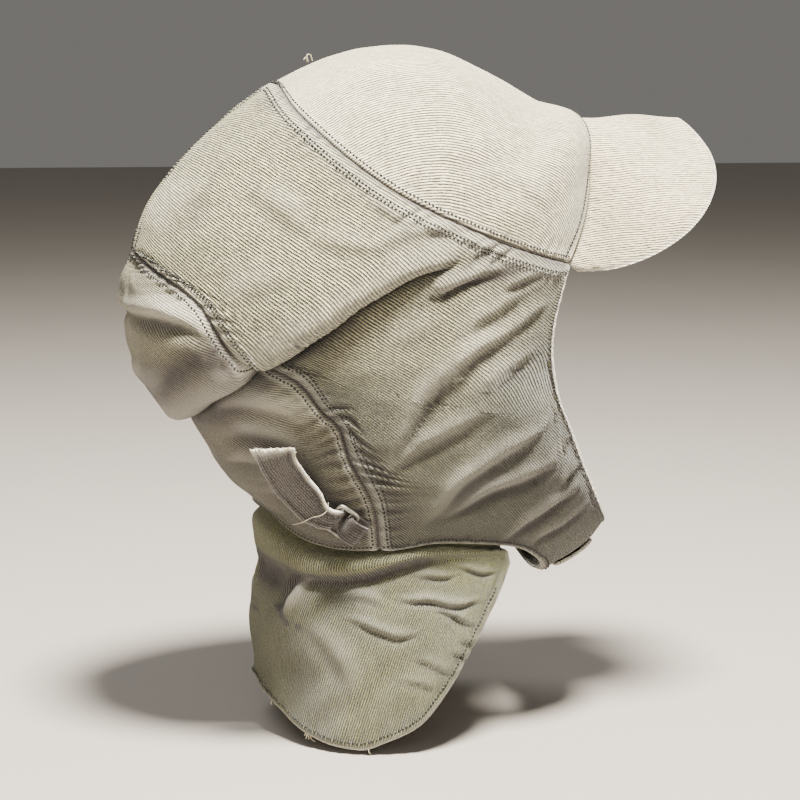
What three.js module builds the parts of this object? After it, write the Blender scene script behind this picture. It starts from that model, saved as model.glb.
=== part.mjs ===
// Winter deck cap of corded cotton cloth: a close hood with a soft crown, ear sides that
// meet under the chin, a short arched peak, a neck flap and a nape strap with a slide buckle.
// Millimetres, +Z up, -Y is the wearer's front and -X the wearer's right.
// The origin is the point inside the top of the crown where a head carries the cap.
import * as THREE from 'three';
import { mergeVertices } from 'three/addons/utils/BufferGeometryUtils.js';

// Driving dimensions
const CLOTH = 2.2;
const SEAM_GAP = 0.6;
const LAY_GAP = 0.95;
const PEAK_GAP = 0.9;
const HEM_DROP = 1.3;
const FLAP_GAP = 1.25;
const PEAK_THICKNESS = 3.0;
const STRAP_WIDTH = 22;
const STRAP_NECK_WIDTH = 12;
const STRAP_NECK_END = 18;
const STRAP_THICKNESS = 1.6;
const BUCKLE_WIRE = 2.0;
const BAR_OFFSET = 5.5;
const BAR_GAP = 1.75;
const HALF_WIDTH = 88;
const FULLNESS = 2.3;
const FORM_CENTRE = { forward: -12, height: -123 };

// Mid-line of the hood seen from the side: over the crown, down the nape, across the open
// neck, under the chin and up before the open face. Rows go round once from the peak joint.
const OUTLINE = [
  { forward: 94, height: -33 },
  { forward: 69, height: -24 },
  { forward: 41, height: -8 },
  { forward: 13, height: 2 },
  { forward: -23, height: 1 },
  { forward: -63, height: -14 },
  { forward: -93, height: -34 },
  { forward: -119, height: -60 },
  { forward: -137, height: -92 },
  { forward: -141, height: -120 },
  { forward: -136, height: -145 },
  { forward: -122, height: -170 },
  { forward: -107, height: -195 },
  { forward: -92, height: -220 },
  { forward: -75, height: -236 },
  { forward: -62, height: -264 },
  { forward: -24, height: -292 },
  { forward: 14, height: -293 },
  { forward: 71, height: -276 },
  { forward: 106, height: -252 },
  { forward: 103, height: -224 },
  { forward: 96, height: -190 },
  { forward: 95, height: -150 },
  { forward: 98, height: -104 },
  { forward: 98, height: -62 },
];

// Seams and edges on the wearer's right, as seen from the side
const TOP_SEAM = [
  { forward: -66, height: -16 },
  { forward: -63, height: -29 },
  { forward: -49, height: -45 },
  { forward: -33, height: -60 },
  { forward: 0, height: -77 },
  { forward: 36, height: -91 },
  { forward: 75, height: -106 },
];
const FACE_EDGE = [
  { forward: 75, height: -106 },
  { forward: 67, height: -132 },
  { forward: 65, height: -152 },
  { forward: 70, height: -176 },
  { forward: 85, height: -209 },
  { forward: 97, height: -231 },
  { forward: 107, height: -248 },
];
const LOWER_EDGE = [
  { forward: -24, height: -249 },
  { forward: 6, height: -247 },
  { forward: 46, height: -252 },
  { forward: 64, height: -262 },
  { forward: 72, height: -276 },
];
const BACK_SEAM = [
  { forward: -142, height: -101 },
  { forward: -134, height: -107 },
  { forward: -112, height: -124 },
  { forward: -89, height: -150 },
  { forward: -69, height: -160 },
  { forward: -57, height: -174 },
  { forward: -44, height: -193 },
  { forward: -31, height: -220 },
  { forward: -24, height: -249 },
];
const NAPE_EDGE = [
  { forward: -76, height: -236 },
  { forward: -62, height: -245 },
  { forward: -44, height: -250 },
  { forward: -24, height: -249 },
];
const PEAK_JOINT = [
  { forward: 94, height: -33 },
  { forward: 95, height: -50 },
  { forward: 91, height: -70 },
  { forward: 84, height: -90 },
  { forward: 75, height: -106 },
];
const PEAK_RIM = [
  { across: 0, forward: 160, height: -44 },
  { across: 22, forward: 162, height: -50 },
  { across: 40, forward: 160, height: -63 },
  { across: 54, forward: 151, height: -77 },
  { across: 63, forward: 137, height: -90 },
  { across: 67, forward: 118, height: -101 },
  { across: 66, forward: 98, height: -108 },
  { across: 60, forward: 79, height: -111 },
];

// Folds of the loose cloth. The bulge lies above or before each line, the tuck below it.
const FOLDS = [
  {
    line: [[-130, -181], [-110, -168], [-87, -152], [-57, -131], [-18, -111], [9, -100], [38, -94]],
    bulge: 9, reach: 30, tuck: 3, edge: 9,
  },
  {
    line: [[-2, -192], [12, -174], [34, -156], [58, -128]],
    bulge: 2, reach: 12, tuck: 2, edge: 8,
  },
  {
    line: [[14, -230], [28, -218], [46, -206], [64, -190]],
    bulge: 2, reach: 12, tuck: 2, edge: 8,
  },
];

// The neck flap hangs round a neck form: back, half-width and front reach at each height
const NECK_FORM = [
  { height: -228, back: 80, half: 61, front: 110 },
  { height: -250, back: 77, half: 64, front: 110 },
  { height: -280, back: 78, half: 72, front: 105 },
  { height: -310, back: 82, half: 77, front: 100 },
  { height: -350, back: 84, half: 81, front: 100 },
];
const FLAP_TOP = [
  { forward: 42, height: -252 },
  { forward: 6, height: -247 },
  { forward: -24, height: -249 },
  { forward: -44, height: -250 },
  { forward: -62, height: -245 },
  { forward: -76, height: -236 },
];
const FLAP_EDGES = [
  { forward: 42, roll: -256, bottom: -261 },
  { forward: 37, roll: -256, bottom: -268 },
  { forward: 28, roll: -256, bottom: -284 },
  { forward: 8, roll: -256, bottom: -315 },
  { forward: -5, roll: -258, bottom: -331 },
  { forward: -31, roll: -262, bottom: -347 },
  { forward: -57, roll: -265, bottom: -340 },
  { forward: -78, roll: -264, bottom: -331 },
];
// Rows of the flap's drape: how far each has fallen in its part, and how far it stands out
const FLAP_ROWS = [
  { part: 'roll', fall: 0.3, out: 0.7 },
  { part: 'roll', fall: 0.75, out: 1 },
  { part: 'roll', fall: 1, out: 0.4 },
  { part: 'skirt', fall: 0.05, out: -0.7 },
  { part: 'skirt', fall: 0.14, out: -0.1 },
  { part: 'skirt', fall: 0.28, out: 0.15 },
  { part: 'skirt', fall: 0.45, out: 0.1 },
  { part: 'skirt', fall: 0.63, out: 0 },
  { part: 'skirt', fall: 0.82, out: 0 },
  { part: 'skirt', fall: 1, out: 0 },
];
const FLAP_TUCK = 5;
const ROLL_OUT = 4.5;
const ROLL_IN = 3.5;

// Nape strap: its middle line over the back panel, from the buckle up towards the nape
const STRAP_LINE = [
  { forward: -43, height: -233 },
  { forward: -52, height: -224 },
  { forward: -65, height: -211 },
  { forward: -83, height: -193 },
];
const STRAP_RUN_LENGTH = 36;
const STRAP_END_LENGTH = 46;
const STRAP_END_LIFT = 6;
const SHORT_TAB_LENGTH = 9;
const CHIN_TAB = { length: 46, width: 24, forward: 91, height: -264 };

// Mesh fineness: cells along each side of a panel
const CELLS = { topSeam: 15, faceEdge: 12, crownSeam: 8, backSeam: 18, across: 14, peakRows: 7 };

const COLOURS = {
  crown: 0xcfc3a4, side: 0xa9a078, back: 0xa6966f, peak: 0xc9b795, flap: 0xa39a72, strap: 0x5a4838, metal: 0x8d8676,
};

const UP = new THREE.Vector3(0, 0, 1);

function lerp(a, b, t) {
  return a + (b - a) * t;
}

function smooth(low, high, value) {
  const t = Math.min(Math.max((value - low) / (high - low), 0), 1);
  return t * t * (3 - 2 * t);
}

// Reads a smooth value between the rows of a table whose keys rise
function readTable(keys, values, key) {
  let i = 0;
  while (i < keys.length - 2 && key > keys[i + 1]) i += 1;
  const slope = (k) => {
    const low = Math.max(k - 1, 0);
    const high = Math.min(k + 1, keys.length - 1);
    return (values[high] - values[low]) / (keys[high] - keys[low]);
  };
  const span = keys[i + 1] - keys[i];
  const t = Math.min(Math.max((key - keys[i]) / span, 0), 1);
  const t2 = t * t;
  const t3 = t2 * t;
  return (2 * t3 - 3 * t2 + 1) * values[i] + (t3 - 2 * t2 + t) * span * slope(i)
    + (3 * t2 - 2 * t3) * values[i + 1] + (t3 - t2) * span * slope(i + 1);
}

// Radius of the mid-line about the centre of the form, by angle from straight ahead
const polar = OUTLINE.map((row) => {
  const f = row.forward - FORM_CENTRE.forward;
  const h = row.height - FORM_CENTRE.height;
  return { angle: (Math.atan2(h, f) + 2 * Math.PI) % (2 * Math.PI), radius: Math.hypot(f, h) };
}).sort((a, b) => a.angle - b.angle);
const wrapped = [
  ...polar.slice(-3).map((p) => ({ angle: p.angle - 2 * Math.PI, radius: p.radius })),
  ...polar,
  ...polar.slice(0, 3).map((p) => ({ angle: p.angle + 2 * Math.PI, radius: p.radius })),
];
const outlineAngles = wrapped.map((p) => p.angle);
const outlineRadii = wrapped.map((p) => p.radius);

function outlineRadius(angle) {
  const turn = (angle + 2 * Math.PI) % (2 * Math.PI);
  return readTable(outlineAngles, outlineRadii, turn);
}

// Unit direction (across, forward, height) of a point named by its place in the side view
function sideDirection(row) {
  const f = row.forward - FORM_CENTRE.forward;
  const h = row.height - FORM_CENTRE.height;
  const angle = Math.atan2(h, f);
  const level = Math.min(Math.hypot(f, h) / outlineRadius(angle), 1);
  return new THREE.Vector3(Math.sqrt(1 - level * level), level * Math.cos(angle), level * Math.sin(angle));
}

// Smooth form of the hood without folds, in the order across, forward, height
function plainForm(direction) {
  const d = direction.clone().normalize();
  const level = Math.min(Math.hypot(d.y, d.z), 1);
  const angle = Math.atan2(d.z, d.y);
  const reach = outlineRadius(angle) * level;
  const across = HALF_WIDTH * (1 - level ** FULLNESS) ** (1 / FULLNESS) * Math.sign(d.x);
  return new THREE.Vector3(
    across,
    FORM_CENTRE.forward + reach * Math.cos(angle),
    FORM_CENTRE.height + reach * Math.sin(angle),
  );
}

function normalOf(form, direction) {
  const d = direction.clone().normalize();
  const a = new THREE.Vector3(-d.z, 0, d.x);
  if (a.length() < 0.3) a.set(0, d.z, -d.y);
  a.cross(d).normalize();
  const b = new THREE.Vector3().crossVectors(d, a).normalize();
  const step = 0.004;
  const along = (axis, sign) => form(d.clone().addScaledVector(axis, sign * step));
  const ta = along(a, 1).sub(along(a, -1));
  const tb = along(b, 1).sub(along(b, -1));
  return ta.cross(tb).normalize();
}

// Height of one fold over the smooth form at a place in the side view
function foldHeight(fold, forward, height) {
  let best = { distance: Infinity, along: 0, above: 1 };
  const spans = fold.line.length - 1;
  for (let i = 0; i < spans; i += 1) {
    const [f0, h0] = fold.line[i];
    const [f1, h1] = fold.line[i + 1];
    const span = (f1 - f0) ** 2 + (h1 - h0) ** 2;
    const t = Math.min(Math.max(((forward - f0) * (f1 - f0) + (height - h0) * (h1 - h0)) / span, 0), 1);
    const df = forward - lerp(f0, f1, t);
    const dh = height - lerp(h0, h1, t);
    const distance = Math.hypot(df, dh);
    if (distance < best.distance) {
      const above = Math.sign((f1 - f0) * dh - (h1 - h0) * df);
      best = { distance, along: (i + t) / spans, above };
    }
  }
  const offset = best.distance * best.above;
  const rise = fold.bulge * smooth(-fold.edge, fold.edge, offset) * Math.exp(-((offset / fold.reach) ** 2));
  const dip = fold.tuck * Math.exp(-(((offset + fold.edge) / fold.edge) ** 2));
  const fade = smooth(0, 0.15, 1.04 - best.along);
  return (rise - dip) * fade;
}

// Outer face of the hood with its folds
function hoodForm(direction) {
  const point = plainForm(direction);
  const lift = FOLDS.reduce((sum, fold) => sum + foldHeight(fold, point.y, point.z), 0);
  return point.addScaledVector(normalOf(plainForm, direction), lift);
}

// Turns across, forward and height into the part's own axes
function toPart(v) {
  return new THREE.Vector3(-v.x, -v.y, v.z);
}

function mirrored(v) {
  return new THREE.Vector3(-v.x, v.y, v.z);
}

// A smooth path of unit directions through table rows, read by its share of length.
// A path that starts on the mid-line crosses it squarely.
function directionPath(rows, startsOnMidLine = false, endsOnMidLine = false) {
  const knots = rows.map(sideDirection);
  if (startsOnMidLine) {
    knots[0].x = 0;
    knots[0].normalize();
  }
  if (endsOnMidLine) {
    knots[knots.length - 1].x = 0;
    knots[knots.length - 1].normalize();
  }
  const before = startsOnMidLine ? [mirrored(knots[1])] : [];
  const after = endsOnMidLine ? [mirrored(knots[knots.length - 2])] : [];
  const all = [...before, ...knots, ...after];
  const curve = new THREE.CatmullRomCurve3(all, false, 'centripetal');
  const spans = all.length - 1;
  const first = before.length / spans;
  const last = 1 - after.length / spans;
  return pathOf((t) => curve.getPoint(lerp(first, last, t)).normalize());
}

// Reads a curve by its share of length measured on the hood
function pathOf(read) {
  const count = 160;
  const samples = Array.from({ length: count + 1 }, (_, i) => read(i / count));
  const lengths = [0];
  for (let i = 1; i <= count; i += 1) {
    lengths.push(lengths[i - 1] + plainForm(samples[i]).distanceTo(plainForm(samples[i - 1])));
  }
  const total = lengths[count];
  return (share) => {
    const goal = Math.min(Math.max(share, 0), 1) * total;
    let i = 0;
    while (i < count - 1 && lengths[i + 1] < goal) i += 1;
    const t = (goal - lengths[i]) / (lengths[i + 1] - lengths[i]);
    return samples[i].clone().lerp(samples[i + 1], t).normalize();
  };
}

function stations(path, cells, from = 0, to = 1) {
  return Array.from({ length: cells + 1 }, (_, i) => path(lerp(from, to, i / cells)));
}

// Patch of directions between four sides: top and bottom run the same way, so do left and right
function patch(top, bottom, left, right) {
  const columns = top.length - 1;
  const rows = left.length - 1;
  return top.map((_, i) => left.map((__, j) => {
    const u = i / columns;
    const v = j / rows;
    const sum = new THREE.Vector3();
    sum.addScaledVector(top[i], 1 - v).addScaledVector(bottom[i], v);
    sum.addScaledVector(left[j], 1 - u).addScaledVector(right[j], u);
    sum.addScaledVector(top[0], -(1 - u) * (1 - v)).addScaledVector(top[columns], -u * (1 - v));
    sum.addScaledVector(bottom[0], -(1 - u) * v).addScaledVector(bottom[columns], -u * v);
    return sum.normalize();
  }));
}

// Moves the border of a grid of directions inwards over the form by half a seam gap
function insetBorder(grid, amount) {
  const columns = grid.length - 1;
  const rows = grid[0].length - 1;
  const shifted = (i, j, k, l, before, after) => {
    const here = plainForm(grid[i][j]);
    const way = plainForm(grid[k][l]).sub(here);
    const border = plainForm(after).sub(plainForm(before));
    if (border.length() > 1e-6) way.addScaledVector(border.normalize(), -way.dot(border));
    return grid[k][l].clone().sub(grid[i][j]).multiplyScalar(Math.min(amount / way.length(), 0.5));
  };
  return grid.map((column, i) => column.map((direction, j) => {
    const moved = direction.clone();
    const [left, right] = [Math.max(i - 1, 0), Math.min(i + 1, columns)];
    const [high, low] = [Math.max(j - 1, 0), Math.min(j + 1, rows)];
    const inner = Math.min(Math.max(j, 1), rows - 1);
    if (i === 0) moved.add(shifted(i, j, 1, inner, column[high], column[low]));
    if (i === columns) moved.add(shifted(i, j, columns - 1, j, column[high], column[low]));
    if (j === 0 && i > 0) moved.add(shifted(i, j, i, 1, grid[left][j], grid[right][j]));
    if (j === rows && i > 0) moved.add(shifted(i, j, i, rows - 1, grid[left][j], grid[right][j]));
    return moved.normalize();
  }));
}

// Closed sheet between an outer and an inner grid of points of the same size
function sheetGeometry(outer, inner) {
  const columns = outer.length - 1;
  const rows = outer[0].length - 1;
  const positions = [];
  const indices = [];
  const index = (layer, i, j) => (layer * (columns + 1) + i) * (rows + 1) + j;
  [outer, inner].forEach((grid) => grid.forEach((column) => column.forEach((p) => positions.push(p.x, p.y, p.z))));
  const quad = (a, b, c, d) => indices.push(a, b, c, a, c, d);
  for (let i = 0; i < columns; i += 1) {
    for (let j = 0; j < rows; j += 1) {
      quad(index(0, i, j), index(0, i + 1, j), index(0, i + 1, j + 1), index(0, i, j + 1));
      quad(index(1, i, j), index(1, i, j + 1), index(1, i + 1, j + 1), index(1, i + 1, j));
    }
    quad(index(0, i + 1, 0), index(0, i, 0), index(1, i, 0), index(1, i + 1, 0));
    quad(index(0, i, rows), index(0, i + 1, rows), index(1, i + 1, rows), index(1, i, rows));
  }
  for (let j = 0; j < rows; j += 1) {
    quad(index(0, 0, j), index(0, 0, j + 1), index(1, 0, j + 1), index(1, 0, j));
    quad(index(0, columns, j + 1), index(0, columns, j), index(1, columns, j), index(1, columns, j + 1));
  }
  return closedGeometry(positions, indices);
}

// Merges equal points, drops the flat triangles that this leaves and faces the body outwards
function closedGeometry(positions, indices) {
  const loose = new THREE.BufferGeometry();
  loose.setAttribute('position', new THREE.Float32BufferAttribute(positions, 3));
  loose.setIndex(indices);
  const merged = mergeVertices(loose, 1e-3);
  const order = merged.index.array;
  const at = merged.attributes.position;
  const corner = (k) => new THREE.Vector3().fromBufferAttribute(at, k);
  const kept = [];
  let volume = 0;
  for (let k = 0; k < order.length; k += 3) {
    const [a, b, c] = [order[k], order[k + 1], order[k + 2]];
    if (a !== b && b !== c && c !== a) {
      kept.push(a, b, c);
      volume += corner(a).dot(corner(b).cross(corner(c)));
    }
  }
  if (volume < 0) kept.reverse();
  merged.setIndex(kept);
  merged.computeVertexNormals();
  return merged;
}

// Cloth on the hood's form: outer face on the form, inner face one cloth below it
function hoodPanel(cut) {
  const directions = insetBorder(cut, SEAM_GAP / 2);
  const outer = directions.map((column) => column.map((d) => toPart(hoodForm(d))));
  const inner = directions.map((column) => column.map((d) => (
    toPart(hoodForm(d).addScaledVector(normalOf(hoodForm, d), -CLOTH))
  )));
  return sheetGeometry(outer, inner);
}

function piece(name, geometry, colour, roughness = 0.95, metalness = 0) {
  const mesh = new THREE.Mesh(geometry, new THREE.MeshStandardMaterial({ color: colour, roughness, metalness }));
  mesh.name = name;
  return mesh;
}

const topSeam = directionPath(TOP_SEAM, true);
const faceEdge = directionPath(FACE_EDGE, false, true);
const lowerEdge = directionPath(LOWER_EDGE, false, true);
const backSeam = directionPath(BACK_SEAM, true);
const napeEdge = directionPath(NAPE_EDGE, true);
const peakJoint = directionPath(PEAK_JOINT, true);
const flapTop = directionPath(FLAP_TOP, false, true);

// Directions along the mid-line between two places on it
function midLine(from, to, cells) {
  const angleOf = (d) => Math.atan2(d.z, d.y);
  const start = angleOf(from);
  const turn = ((angleOf(to) - start + 3 * Math.PI) % (2 * Math.PI)) - Math.PI;
  return Array.from({ length: cells + 1 }, (_, i) => {
    const angle = start + turn * i / cells;
    return new THREE.Vector3(0, Math.cos(angle), Math.sin(angle));
  });
}

function sidePanel(side) {
  const top = [
    ...stations(topSeam, CELLS.topSeam),
    ...stations(faceEdge, CELLS.faceEdge).slice(1),
  ];
  const bottom = stations(lowerEdge, CELLS.topSeam + CELLS.faceEdge);
  const left = [
    ...midLine(topSeam(0), backSeam(0), CELLS.crownSeam),
    ...stations(backSeam, CELLS.backSeam).slice(1),
  ];
  const right = midLine(faceEdge(1), lowerEdge(1), CELLS.crownSeam + CELLS.backSeam);
  const grid = patch(top, bottom, left, right);
  return hoodPanel(side > 0 ? grid : grid.map((column) => column.map(mirrored)));
}

// A panel that spans the mid-line between a seam and its mirror image, closed at its apex
function spanningPanel(seam, seamCells, edge) {
  const right = stations(seam, seamCells);
  const left = right.map(mirrored);
  const apex = Array.from({ length: CELLS.across + 1 }, () => right[0]);
  const half = stations(edge, CELLS.across / 2).reverse();
  const end = [...half, ...half.slice(0, -1).reverse().map(mirrored)];
  return hoodPanel(patch(right, left, apex, end));
}

// Arched peak: its first row follows the front panel's edge, its last row the rim
function peakGeometry() {
  const half = CELLS.across / 2;
  const rim = new THREE.CatmullRomCurve3(
    [
      new THREE.Vector3(-PEAK_RIM[1].across, PEAK_RIM[1].forward, PEAK_RIM[1].height),
      ...PEAK_RIM.map((row) => new THREE.Vector3(row.across, row.forward, row.height)),
    ],
    false,
    'centripetal',
  );
  const rimPoint = (share) => rim.getPoint(lerp(1 / PEAK_RIM.length, 1, share));
  const columns = Array.from({ length: 2 * half + 1 }, (_, i) => (half - i) / half);
  const jointRow = columns.map((share) => {
    const d = peakJoint(Math.abs(share));
    const direction = share < 0 ? mirrored(d) : d;
    return { point: hoodForm(direction), normal: normalOf(hoodForm, direction) };
  });
  jointRow.forEach((station, i) => {
    const before = jointRow[Math.max(i - 1, 0)].point;
    const after = jointRow[Math.min(i + 1, jointRow.length - 1)].point;
    station.away = new THREE.Vector3().crossVectors(station.normal, after.clone().sub(before)).normalize();
    if (station.away.y < 0) station.away.negate();
  });
  const grid = columns.map((share, i) => {
    const target = rimPoint(Math.abs(share));
    const end = share < 0 ? mirrored(target) : target;
    const { point, away } = jointRow[i];
    return Array.from({ length: CELLS.peakRows + 1 }, (_, j) => {
      const w = j / CELLS.peakRows;
      const crown = 3 * Math.sin(Math.PI * w) * (1 - share * share);
      const lead = PEAK_GAP * (1 - w);
      return point.clone().lerp(end, w).add(new THREE.Vector3(0, 0, crown)).addScaledVector(away, lead);
    });
  });
  return sheetFromGrid(grid, PEAK_THICKNESS, (normal, i, j) => (j === 0 ? jointRow[i].normal : normal));
}

// Closed sheet under a free grid of points. Some rows can take given normals.
function sheetFromGrid(grid, thickness, adjust = (normal) => normal) {
  const columns = grid.length - 1;
  const rows = grid[0].length - 1;
  const inner = grid.map((column, i) => column.map((p, j) => {
    const du = grid[Math.min(i + 1, columns)][j].clone().sub(grid[Math.max(i - 1, 0)][j]);
    const dv = grid[i][Math.min(j + 1, rows)].clone().sub(grid[i][Math.max(j - 1, 0)]);
    const normal = adjust(du.cross(dv).normalize(), i, j);
    return p.clone().addScaledVector(normal, -thickness);
  }));
  return sheetGeometry(grid.map((c) => c.map(toPart)), inner.map((c) => c.map(toPart)));
}

// Point of the neck form at a turn from straight ahead, pushed out from it
function neckPoint(turn, height, out) {
  const keys = NECK_FORM.map((row) => -row.height);
  const read = (name) => readTable(keys, NECK_FORM.map((row) => row[name]), -height);
  const depth = Math.cos(turn) < 0 ? read('back') : read('front');
  const terms = (Math.abs(Math.sin(turn)) / read('half')) ** FULLNESS
    + (Math.abs(Math.cos(turn)) / depth) ** FULLNESS;
  const radius = terms ** (-1 / FULLNESS) + out;
  return new THREE.Vector3(radius * Math.sin(turn), radius * Math.cos(turn), height);
}

// One column of the neck flap from its top edge inside the hood to its free edge
function flapColumn(direction, share) {
  const seat = (d) => hoodForm(d).addScaledVector(normalOf(hoodForm, d), -CLOTH - FLAP_GAP);
  const hem = hoodForm(direction);
  const turn = Math.atan2(hem.x, hem.y);
  const forwards = FLAP_EDGES.map((row) => -row.forward);
  const read = (name) => readTable(forwards, FLAP_EDGES.map((row) => row[name]), -hem.y);
  const foot = seat(direction).add(new THREE.Vector3(0, 0, -HEM_DROP));
  const rollSize = smooth(0, 0.45, share);
  const free = FLAP_ROWS.map((row) => {
    const height = row.part === 'roll'
      ? lerp(foot.z, read('roll'), row.fall)
      : lerp(read('roll'), read('bottom'), row.fall);
    const size = row.out > 0 ? ROLL_OUT : ROLL_IN;
    return neckPoint(turn, height, row.out * size * rollSize);
  });
  return [seat(stepOnHood(direction, new THREE.Vector3(0, 0, FLAP_TUCK))), foot, ...free];
}

function neckFlap() {
  const half = 18;
  const columns = Array.from({ length: 2 * half + 1 }, (_, i) => {
    const share = 1 - Math.abs(i - half) / half;
    const column = flapColumn(flapTop(share), share);
    return i <= half ? column : column.map(mirrored);
  });
  return sheetFromGrid(columns, CLOTH);
}

// Steps over the hood by a vector and gives the new direction
function stepOnHood(direction, vector) {
  const d = direction.clone();
  const parts = 4;
  for (let k = 0; k < parts; k += 1) {
    const a = new THREE.Vector3().crossVectors(d, UP).normalize();
    const b = new THREE.Vector3().crossVectors(d, a).normalize();
    const h = 0.002;
    const here = plainForm(d);
    const ta = plainForm(d.clone().addScaledVector(a, h)).sub(here).divideScalar(h);
    const tb = plainForm(d.clone().addScaledVector(b, h)).sub(here).divideScalar(h);
    const [aa, ab, bb] = [ta.dot(ta), ta.dot(tb), tb.dot(tb)];
    const [va, vb] = [vector.dot(ta) / parts, vector.dot(tb) / parts];
    const det = aa * bb - ab * ab;
    d.addScaledVector(a, (va * bb - vb * ab) / det).addScaledVector(b, (vb * aa - va * ab) / det).normalize();
  }
  return d;
}

// A strip of cloth over the hood. Each station names the place of its under and upper
// faces by their distance along the strip and their lift over the hood.
function stripGeometry(directionAt, strip, widthAt) {
  const lanes = [-0.5, -0.25, 0, 0.25, 0.5];
  const lanePoints = ({ along, lift }) => {
    const direction = directionAt(along);
    const way = plainForm(directionAt(along + 1)).sub(plainForm(directionAt(along - 1)));
    const sideways = new THREE.Vector3().crossVectors(normalOf(hoodForm, direction), way).normalize();
    return lanes.map((share) => {
      const d = stepOnHood(direction, sideways.clone().multiplyScalar(share * widthAt(along)));
      return toPart(hoodForm(d).addScaledVector(normalOf(hoodForm, d), lift));
    });
  };
  return sheetGeometry(strip.map((s) => lanePoints(s.upper)), strip.map((s) => lanePoints(s.under)));
}

const strapPath = directionPath(STRAP_LINE);
const strapPathLength = stations(strapPath, 40).reduce((sum, d, i, all) => (
  i === 0 ? 0 : sum + plainForm(d).distanceTo(plainForm(all[i - 1]))
), 0);

// Direction at a distance along the nape strap, measured from the buckle
function strapDirection(along) {
  if (along >= 0) return strapPath(along / strapPathLength);
  const ahead = plainForm(strapPath(0)).sub(plainForm(strapPath(0.1))).normalize();
  return stepOnHood(strapPath(0), ahead.multiplyScalar(-along));
}

// The strap is gathered to its narrow neck at the buckle
function strapWidth(along) {
  return lerp(STRAP_NECK_WIDTH, STRAP_WIDTH, smooth(BAR_OFFSET, STRAP_NECK_END, along));
}

// Lift of the buckle's bars, and the two radii of a strap that turns round a bar
const BAR_LIFT = LAY_GAP + STRAP_THICKNESS + BAR_GAP + BUCKLE_WIRE / 2;
const BEND_INSIDE = BUCKLE_WIRE / 2 + BAR_GAP;
const BEND_OUTSIDE = BEND_INSIDE + STRAP_THICKNESS;

// Stations of a strap that runs up to a bar, turns round it and comes back above itself.
// side is 1 where the strap comes from the nape and -1 where it comes from the seam.
function turnedStrip(side, far, back, curl) {
  const bar = side * BAR_OFFSET;
  const runCells = Math.max(3, Math.round(Math.abs(far - bar) / 7));
  const endCells = Math.max(2, Math.round(back / 6));
  const run = Array.from({ length: runCells }, (_, i) => {
    const along = lerp(far, bar, i / runCells);
    return { under: { along, lift: LAY_GAP }, upper: { along, lift: LAY_GAP + STRAP_THICKNESS } };
  });
  const bend = Array.from({ length: 7 }, (_, i) => {
    const angle = Math.PI * (i / 6 - 0.5);
    const place = (radius) => ({
      along: bar - side * radius * Math.cos(angle),
      lift: BAR_LIFT + radius * Math.sin(angle),
    });
    return { under: place(BEND_OUTSIDE), upper: place(BEND_INSIDE) };
  });
  const end = Array.from({ length: endCells }, (_, i) => {
    const share = (i + 1) / endCells;
    const along = bar + side * share * back;
    const rise = curl * share ** 2;
    return {
      under: { along, lift: BAR_LIFT + BEND_OUTSIDE + rise },
      upper: { along, lift: BAR_LIFT + BEND_INSIDE + rise },
    };
  });
  return [...run, ...bend, ...end];
}

// Nape strap: a short run on the cloth, the turn through the buckle and the free end above
function napeStrap() {
  const strip = turnedStrip(1, STRAP_RUN_LENGTH, STRAP_END_LENGTH, STRAP_END_LIFT);
  return stripGeometry(strapDirection, strip, strapWidth);
}

// Short tab: from the right seam round the buckle's other bar and back
function shortTab() {
  const far = -BAR_OFFSET - SHORT_TAB_LENGTH;
  return stripGeometry(strapDirection, turnedStrip(-1, far, SHORT_TAB_LENGTH - 3, -1), strapWidth);
}

// Slide buckle: a flat metal loop whose two long bars carry the strap and the short tab
function buckleGeometry() {
  const loop = (halfLength, halfWidth, Path) => {
    const path = new Path();
    path.moveTo(-halfLength, -halfWidth);
    path.lineTo(halfLength, -halfWidth);
    path.lineTo(halfLength, halfWidth);
    path.lineTo(-halfLength, halfWidth);
    path.closePath();
    return path;
  };
  const holeWidth = STRAP_NECK_WIDTH / 2 + 1;
  const outline = loop(BAR_OFFSET + BUCKLE_WIRE / 2, holeWidth + BUCKLE_WIRE, THREE.Shape);
  outline.holes.push(loop(BAR_OFFSET - BUCKLE_WIRE / 2, holeWidth, THREE.Path));
  const geometry = new THREE.ExtrudeGeometry(outline, { depth: BUCKLE_WIRE, bevelEnabled: false });
  geometry.translate(0, 0, -BUCKLE_WIRE / 2);
  return geometry;
}

// Tab under the chin that holds the two ear sides together
function chinTab() {
  const middle = sideDirection(CHIN_TAB);
  middle.x = 0;
  middle.normalize();
  const cells = 8;
  const strip = Array.from({ length: cells + 1 }, (_, i) => {
    const along = lerp(-0.5, 0.5, i / cells) * CHIN_TAB.length;
    return { under: { along, lift: LAY_GAP }, upper: { along, lift: LAY_GAP + STRAP_THICKNESS } };
  });
  const tabDirection = (along) => stepOnHood(middle, new THREE.Vector3(along, 0, 0));
  return stripGeometry(tabDirection, strip, () => CHIN_TAB.width);
}

function slideBuckle() {
  const centre = strapDirection(0);
  const normal = toPart(normalOf(hoodForm, centre));
  const along = toPart(plainForm(strapDirection(-1)).sub(plainForm(strapDirection(1)))).normalize();
  const side = new THREE.Vector3().crossVectors(normal, along).normalize();
  const lengthwise = new THREE.Vector3().crossVectors(side, normal).normalize();
  const mesh = piece('slide_buckle', buckleGeometry(), COLOURS.metal, 0.45, 0.9);
  mesh.position.copy(toPart(hoodForm(centre))).addScaledVector(normal, BAR_LIFT);
  mesh.quaternion.setFromRotationMatrix(new THREE.Matrix4().makeBasis(lengthwise, side, normal));
  return mesh;
}

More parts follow.
